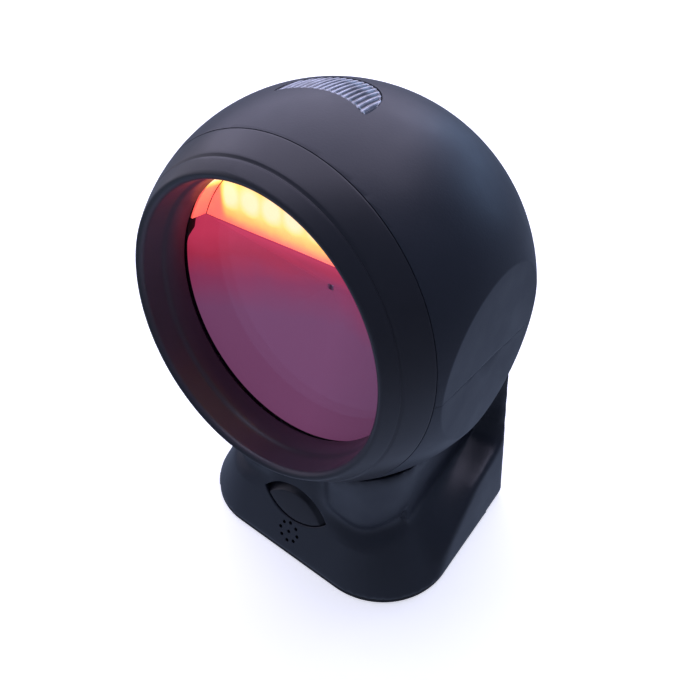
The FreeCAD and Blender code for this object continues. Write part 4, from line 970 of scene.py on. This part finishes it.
class SCANNER_OT_base_shell(bpy.types.Operator):
    """Base shell with softly blended forms, a button opening and a ring of sound holes"""
    bl_idname = "scanner.base_shell"
    bl_label = "Base shell"

    def execute(self, context):
        sizes = context.scene.scanner_sizes
        shell = self.rough_form(sizes)
        self.soften(shell, sizes)
        cut_away(shell, self.wall_tools(sizes), 40)
        hand_over(shell, "abs_fine_grain", "case_plastic", "base", "base_shell")
        return {"FINISHED"}

    def rough_form(self, sizes):
        """A merged copy of the shell, its front holes plugged, in even cells."""
        form = bmesh.new()
        form.from_mesh(frame["nodes"]["base_shell"].data)
        bmesh.ops.remove_doubles(form, verts=form.verts, dist=0.005 * MM)
        plug = bmesh.ops.create_cube(form, size=1.0)["verts"]
        stretch = wall_place() @ Matrix.Translation((0, 1.3 * MM, 18 * MM)) @ Matrix.Diagonal(
            (28 * MM, 2.6 * MM, 25 * MM, 1))
        bmesh.ops.transform(form, matrix=stretch, verts=plug)
        mesh = bpy.data.meshes.new("base_form")
        form.to_mesh(mesh)
        form.free()
        shell = new_object("base_cover", mesh)
        cells = shell.modifiers.new("cells", "REMESH")
        cells.mode = "VOXEL"
        cells.voxel_size = sizes.voxel
        return settle(shell)

    def soften(self, shell, sizes):
        """Evens out the cells, lets the front wall run up to the head, and fills the inner creases."""
        mesh = shell.data
        count = len(mesh.vertices)
        spots = np.empty(count * 3)
        mesh.vertices.foreach_get("co", spots)
        spots = spots.reshape(-1, 3) / MM
        ends = np.empty(len(mesh.edges) * 2, dtype=np.int64)
        mesh.edges.foreach_get("vertices", ends)
        ends = ends.reshape(-1, 2)
        corners = np.array([list(face.vertices)[:4] for face in mesh.polygons if len(face.vertices) == 4])
        degree = np.bincount(ends.ravel(), minlength=count)[:, None].clip(1)
        start_z = spots[:, 2].copy()

        def pull():
            total = np.stack([np.bincount(ends[:, 0], spots[ends[:, 1], k], count)
                              + np.bincount(ends[:, 1], spots[ends[:, 0], k], count)
                              for k in range(3)], axis=1)
            return total / degree - spots

        def normals():
            across = np.cross(spots[corners[:, 2]] - spots[corners[:, 0]],
                              spots[corners[:, 3]] - spots[corners[:, 1]])
            total = np.zeros_like(spots)
            for corner in range(4):
                for k in range(3):
                    total[:, k] += np.bincount(corners[:, corner], across[:, k], count)
            return total / np.linalg.norm(total, axis=1, keepdims=True).clip(1e-9)

        centre = np.array(HEAD_CENTRE) / MM
        from_head = np.linalg.norm(spots - centre, axis=1)
        foot = np.clip((spots[:, 2] - 2.2) / 2.0, 0, 1)
        even = (0.25 + 0.75 * np.clip((from_head - 53.8) / 1.2, 0, 1)) * (0.2 + 0.8 * foot)
        for _ in range(8):
            spots += pull() * 0.5 * even[:, None]
            spots[:, 2] = np.where(start_z < 2.6, start_z, spots[:, 2])
        self.run_up(spots, sizes, centre)
        from_head = np.linalg.norm(spots - centre, axis=1)
        inside = (abs(spots[:, 0]) < 24) & (spots[:, 1] > -12) & (spots[:, 1] < 30)
        port = (spots[:, 1] > 36) & (abs(spots[:, 0]) < 11) & (spots[:, 2] < 28)
        fill = np.clip((from_head - 54.2) / 2.0, 0, 1) * foot * ~inside * ~port
        passes = sizes.trough * (0.04 + 0.96 * np.clip((spots[:, 1] + 5) / 28, 0, 1))
        for turn in range(sizes.trough):
            way = normals()
            push = (pull() * way).sum(axis=1).clip(0)
            spots += way * (push * 0.6 * fill * (turn < passes))[:, None]
        for _ in range(6):
            spots += pull() * 0.5 * (even * fill)[:, None]
        self.deepen_crease(spots, normals())
        self.close_seat(spots, centre)
        reach = np.linalg.norm(spots - centre, axis=1)
        # The seat's edge is evened once more, since moving the seat leaves it ragged.
        rim = np.clip((reach - 52.6) / 0.2, 0, 1) * np.clip((58 - reach) / 2, 0, 1) * foot
        rim *= np.hypot(spots[:, 0], spots[:, 1]) > 19
        for _ in range(18):
            spots += pull() * 0.5 * rim[:, None]
        mesh.vertices.foreach_set("co", (spots * MM).ravel())
        mesh.update()

    def deepen_crease(self, spots, way):
        """A soft trough where the neck meets the front wall, fading towards the middle."""
        turn = np.linspace(0, 1, 60)
        ends = np.array([(9, 28.5), (27, 15.5), (37, 33)])
        line = (np.outer((1 - turn) ** 2, ends[0]) + np.outer(2 * turn * (1 - turn), ends[1])
                + np.outer(turn ** 2, ends[2]))
        depth = np.interp(turn, (0, 0.35, 0.7, 1), (0, 1.6, 1.9, 0.9))
        flat = np.stack([abs(spots[:, 0]), spots[:, 2]], axis=1)
        front = np.flatnonzero((spots[:, 1] < -8) & (way[:, 1] < -0.1) & (flat[:, 0] > 5)
                               & (spots[:, 2] > 18) & (spots[:, 2] < 42))
        gap = np.linalg.norm(flat[front, None] - line[None], axis=2)
        near = gap.argmin(axis=1)
        sink = depth[near] * np.exp(-(gap.min(axis=1) / 3.2) ** 2)
        spots[front] -= way[front] * sink[:, None]

    def close_seat(self, spots, centre):
        """Outside the friction pad the seat lies closer to the head."""
        away = spots - centre
        reach = np.linalg.norm(away, axis=1)
        outward = np.clip((np.hypot(spots[:, 0], spots[:, 1]) - 16.5) / 3, 0, 1)
        seat = np.clip((55.4 - reach) / 1.5, 0, 1) * (spots[:, 2] < 70)
        spots[:] = centre + away * (1 - 0.75 * outward * seat / reach)[:, None]

    def run_up(self, spots, sizes, centre):
        """In the middle the front wall runs straight up to the head, so the crease fades there."""
        waist, flare, top = 24.2, 4.2, 57.0
        slope = math.tan(sizes.front_lean)
        x, y, z = spots[:, 0], spots[:, 1], spots[:, 2]
        wall = -sizes.base_front / MM + z * slope
        neck = -sizes.base_front / MM + waist * slope - flare * (z - waist) / (top - waist)
        near = np.clip((8 - abs(y - neck)) / 3, 0, 1) * (z > waist)
        share = np.clip((15 - abs(x)) / 8, 0, 1)
        share = share * share * (3 - 2 * share)
        spots[:, 1] += (wall - neck) * near * share
        reach = np.linalg.norm(spots - centre, axis=1)
        push = np.where(near * share > 0, np.maximum(1, 53.5 / reach), 1)
        spots[:] = centre + (spots - centre) * push[:, None]

    def wall_tools(self, sizes):
        """The button's opening with a rounded rim, and the sound holes."""
        rim = ((0.75, -0.6), (0.5, 0.0), (0.3, 0.12), (0.2, 0.3), (0.15, 0.6), (0.15, 7.0))
        opening = oval_stack("opening", sizes, [(wide, wide, y) for wide, y in rim])
        pins = grow("sound_pins", hole_ring_tree(), bpy.data.meshes.new("sound_pins"),
                    {"Count": sizes.sound_count, "Ring": sizes.sound_ring, "Hole": 0.65 * MM,
                     "Depth": 7 * MM, "Finish": bpy.data.materials["abs_fine_grain"]})
        turn = Matrix.Translation((0, 0, sizes.sound_up)) @ Matrix.Rotation(math.radians(90), 4, "X")
        place_mesh(pins, turn)
        return [place_mesh(tool, wall_place()) for tool in (opening, pins)]


class SCANNER_OT_button(bpy.types.Operator):
    """Pointed-oval button with a flat face that falls away to a deep upper edge"""
    bl_idname = "scanner.button"
    bl_label = "Button"

    def execute(self, context):
        sizes = context.scene.scanner_sizes
        layers = ((-5.4, -4.6, 0.12), (-4.4, -3.0, 0.13), (-3.4, -1.5, 0.17), (-2.9, -0.8, 0.2),
                  (-2.6, -0.4, 0.26), (-2.4, -0.15, 0.42), (-2.2, -0.05, 0.7), (-0.9, -0.02, 1.9),
                  (-0.3, 0.0, 2.3), (0.0, 0.0, 2.6), (0.0, 0.0, 2.8), (1.2, 1.2, 2.8), (1.2, 1.2, 4.0))
        cap = place_mesh(oval_stack("button", sizes, layers), wall_place())
        hand_over(cap, "abs_satin", "bezel_plastic", cap_body(), "button_cap")
        return {"FINISHED"}


def cap_body():
    """The body that the button's press moves."""
    return next(joint["child"] for joint in frame["joints"] if joint["name"] == "button_press")


# ------------------------------------------------------------------ screws

def screw_tree():
    """Sets one screw on every point, turned by the point's own angle."""
    tree, given = new_tree("set_screws", (("Geometry", "Geometry"), ("Screw", "Object"), ("Seed", "Int"),
                                          ("Finish", "Material")))
    screw = add_node(tree, "GeometryNodeObjectInfo", {"Object": given["Screw"]})
    spin = add_node(tree, "FunctionNodeRandomValue", {"Min": 0.0, "Max": 1.5, "Seed": given["Seed"]},
                    data_type="FLOAT")
    turn = add_node(tree, "ShaderNodeCombineXYZ", {"Z": spin.outputs[1]})
    placed = add_node(tree, "GeometryNodeInstanceOnPoints",
                      {"Points": given["Geometry"], "Instance": screw.outputs["Geometry"],
                       "Rotation": turn.outputs[0]})
    end_tree(tree, placed.outputs[0], given["Finish"])
    return tree


class SCANNER_OT_screws(bpy.types.Operator):
    """Cross-recess screws of the head's shells and of the bottom plate"""
    bl_idname = "scanner.screws"
    bl_label = "Screws"

    def execute(self, context):
        tree = screw_tree()
        screw = self.one_screw()
        bottom = [(x, y, 2.3) for x, y in PLATE_SCREWS]
        head = [(x, y, SCREW_Z) for x, y in SHELL_SCREWS]
        for name, spots, place, body, node in (
                ("bottom", bottom, Matrix.Identity(4), "base", "bottom_screws"),
                ("head", head, head_place(), "head", "head_shell_screws")):
            mesh = points_mesh(name + "_spots", [Vector(spot) * MM for spot in spots])
            screws = grow(name + "_case_screws", tree, mesh,
                          {"Screw": screw, "Seed": 4, "Finish": bpy.data.materials["zinc_plated_steel"]})
            smooth(screws.data, 35)
            place_mesh(screws, place)
            hand_over(screws, "zinc_plated_steel", "screw_steel", body, node)
        bpy.data.objects.remove(screw)
        return {"FINISHED"}

    def one_screw(self):
        """A pan-head screw that points up, with a cross recess in its head below."""
        profile = [(0.0, -1.4), (1.9, -1.4), (2.35, -1.2), (2.6, -0.8), (2.6, 0.0), (1.4, 0.0)]
        for turn in range(9):
            profile += [(1.4, 0.5 + turn * 0.95), (1.12, 0.95 + turn * 0.95)]
        profile += [(0.9, 10.6), (0.0, 11.2)]
        form = bmesh.new()
        rings = [[form.verts.new(Vector((r * math.cos(t), r * math.sin(t), z)) * MM)
                  for t in np.linspace(0, 2 * math.pi, 24, endpoint=False)] for r, z in profile]
        join_rings(form, rings)
        screw = mesh_object("screw", form)
        slots = []
        for wide, deep in ((3.0, 0.7), (0.7, 3.0)):
            outline = [(-wide / 2, -deep / 2), (wide / 2, -deep / 2), (wide / 2, deep / 2),
                       (-wide / 2, deep / 2)]
            slots.append(prism("slot", outline, -2.0, -0.5))
        cut_away(screw, slots, 35)
        return screw


# ------------------------------------------------------------------ panel and run

class SCANNER_PT_panel(bpy.types.Panel):
    """Lists the scanner's sizes and steps"""
    bl_idname = "SCANNER_PT_panel"
    bl_label = "Desk scanner"
    bl_space_type = "VIEW_3D"
    bl_region_type = "UI"
    bl_category = "Scanner"

    def draw(self, context):
        for group in (context.scene.scanner_sizes, context.scene.scanner_colours):
            for name in group.__annotations__:
                self.layout.prop(group, name)
        for step in STEPS:
            self.layout.operator(step.bl_idname)


STEPS = (SCANNER_OT_finishes, SCANNER_OT_stage, SCANNER_OT_head_shells, SCANNER_OT_bezel,
         SCANNER_OT_optics, SCANNER_OT_indicator, SCANNER_OT_base_shell, SCANNER_OT_button,
         SCANNER_OT_screws)
CLASSES = (ScannerSizes, ScannerColours) + STEPS + (SCANNER_PT_panel,)


def register():
    for cls in CLASSES:
        bpy.utils.register_class(cls)
    bpy.types.Scene.scanner_sizes = PointerProperty(type=ScannerSizes)
    bpy.types.Scene.scanner_colours = PointerProperty(type=ScannerColours)


def unregister():
    del bpy.types.Scene.scanner_colours
    del bpy.types.Scene.scanner_sizes
    for cls in reversed(CLASSES):
        bpy.utils.unregister_class(cls)


def main():
    register()
    for step in STEPS:
        area, name = step.bl_idname.split(".")
        getattr(getattr(bpy.ops, area), name)()


if __name__ == "__main__":
    main()
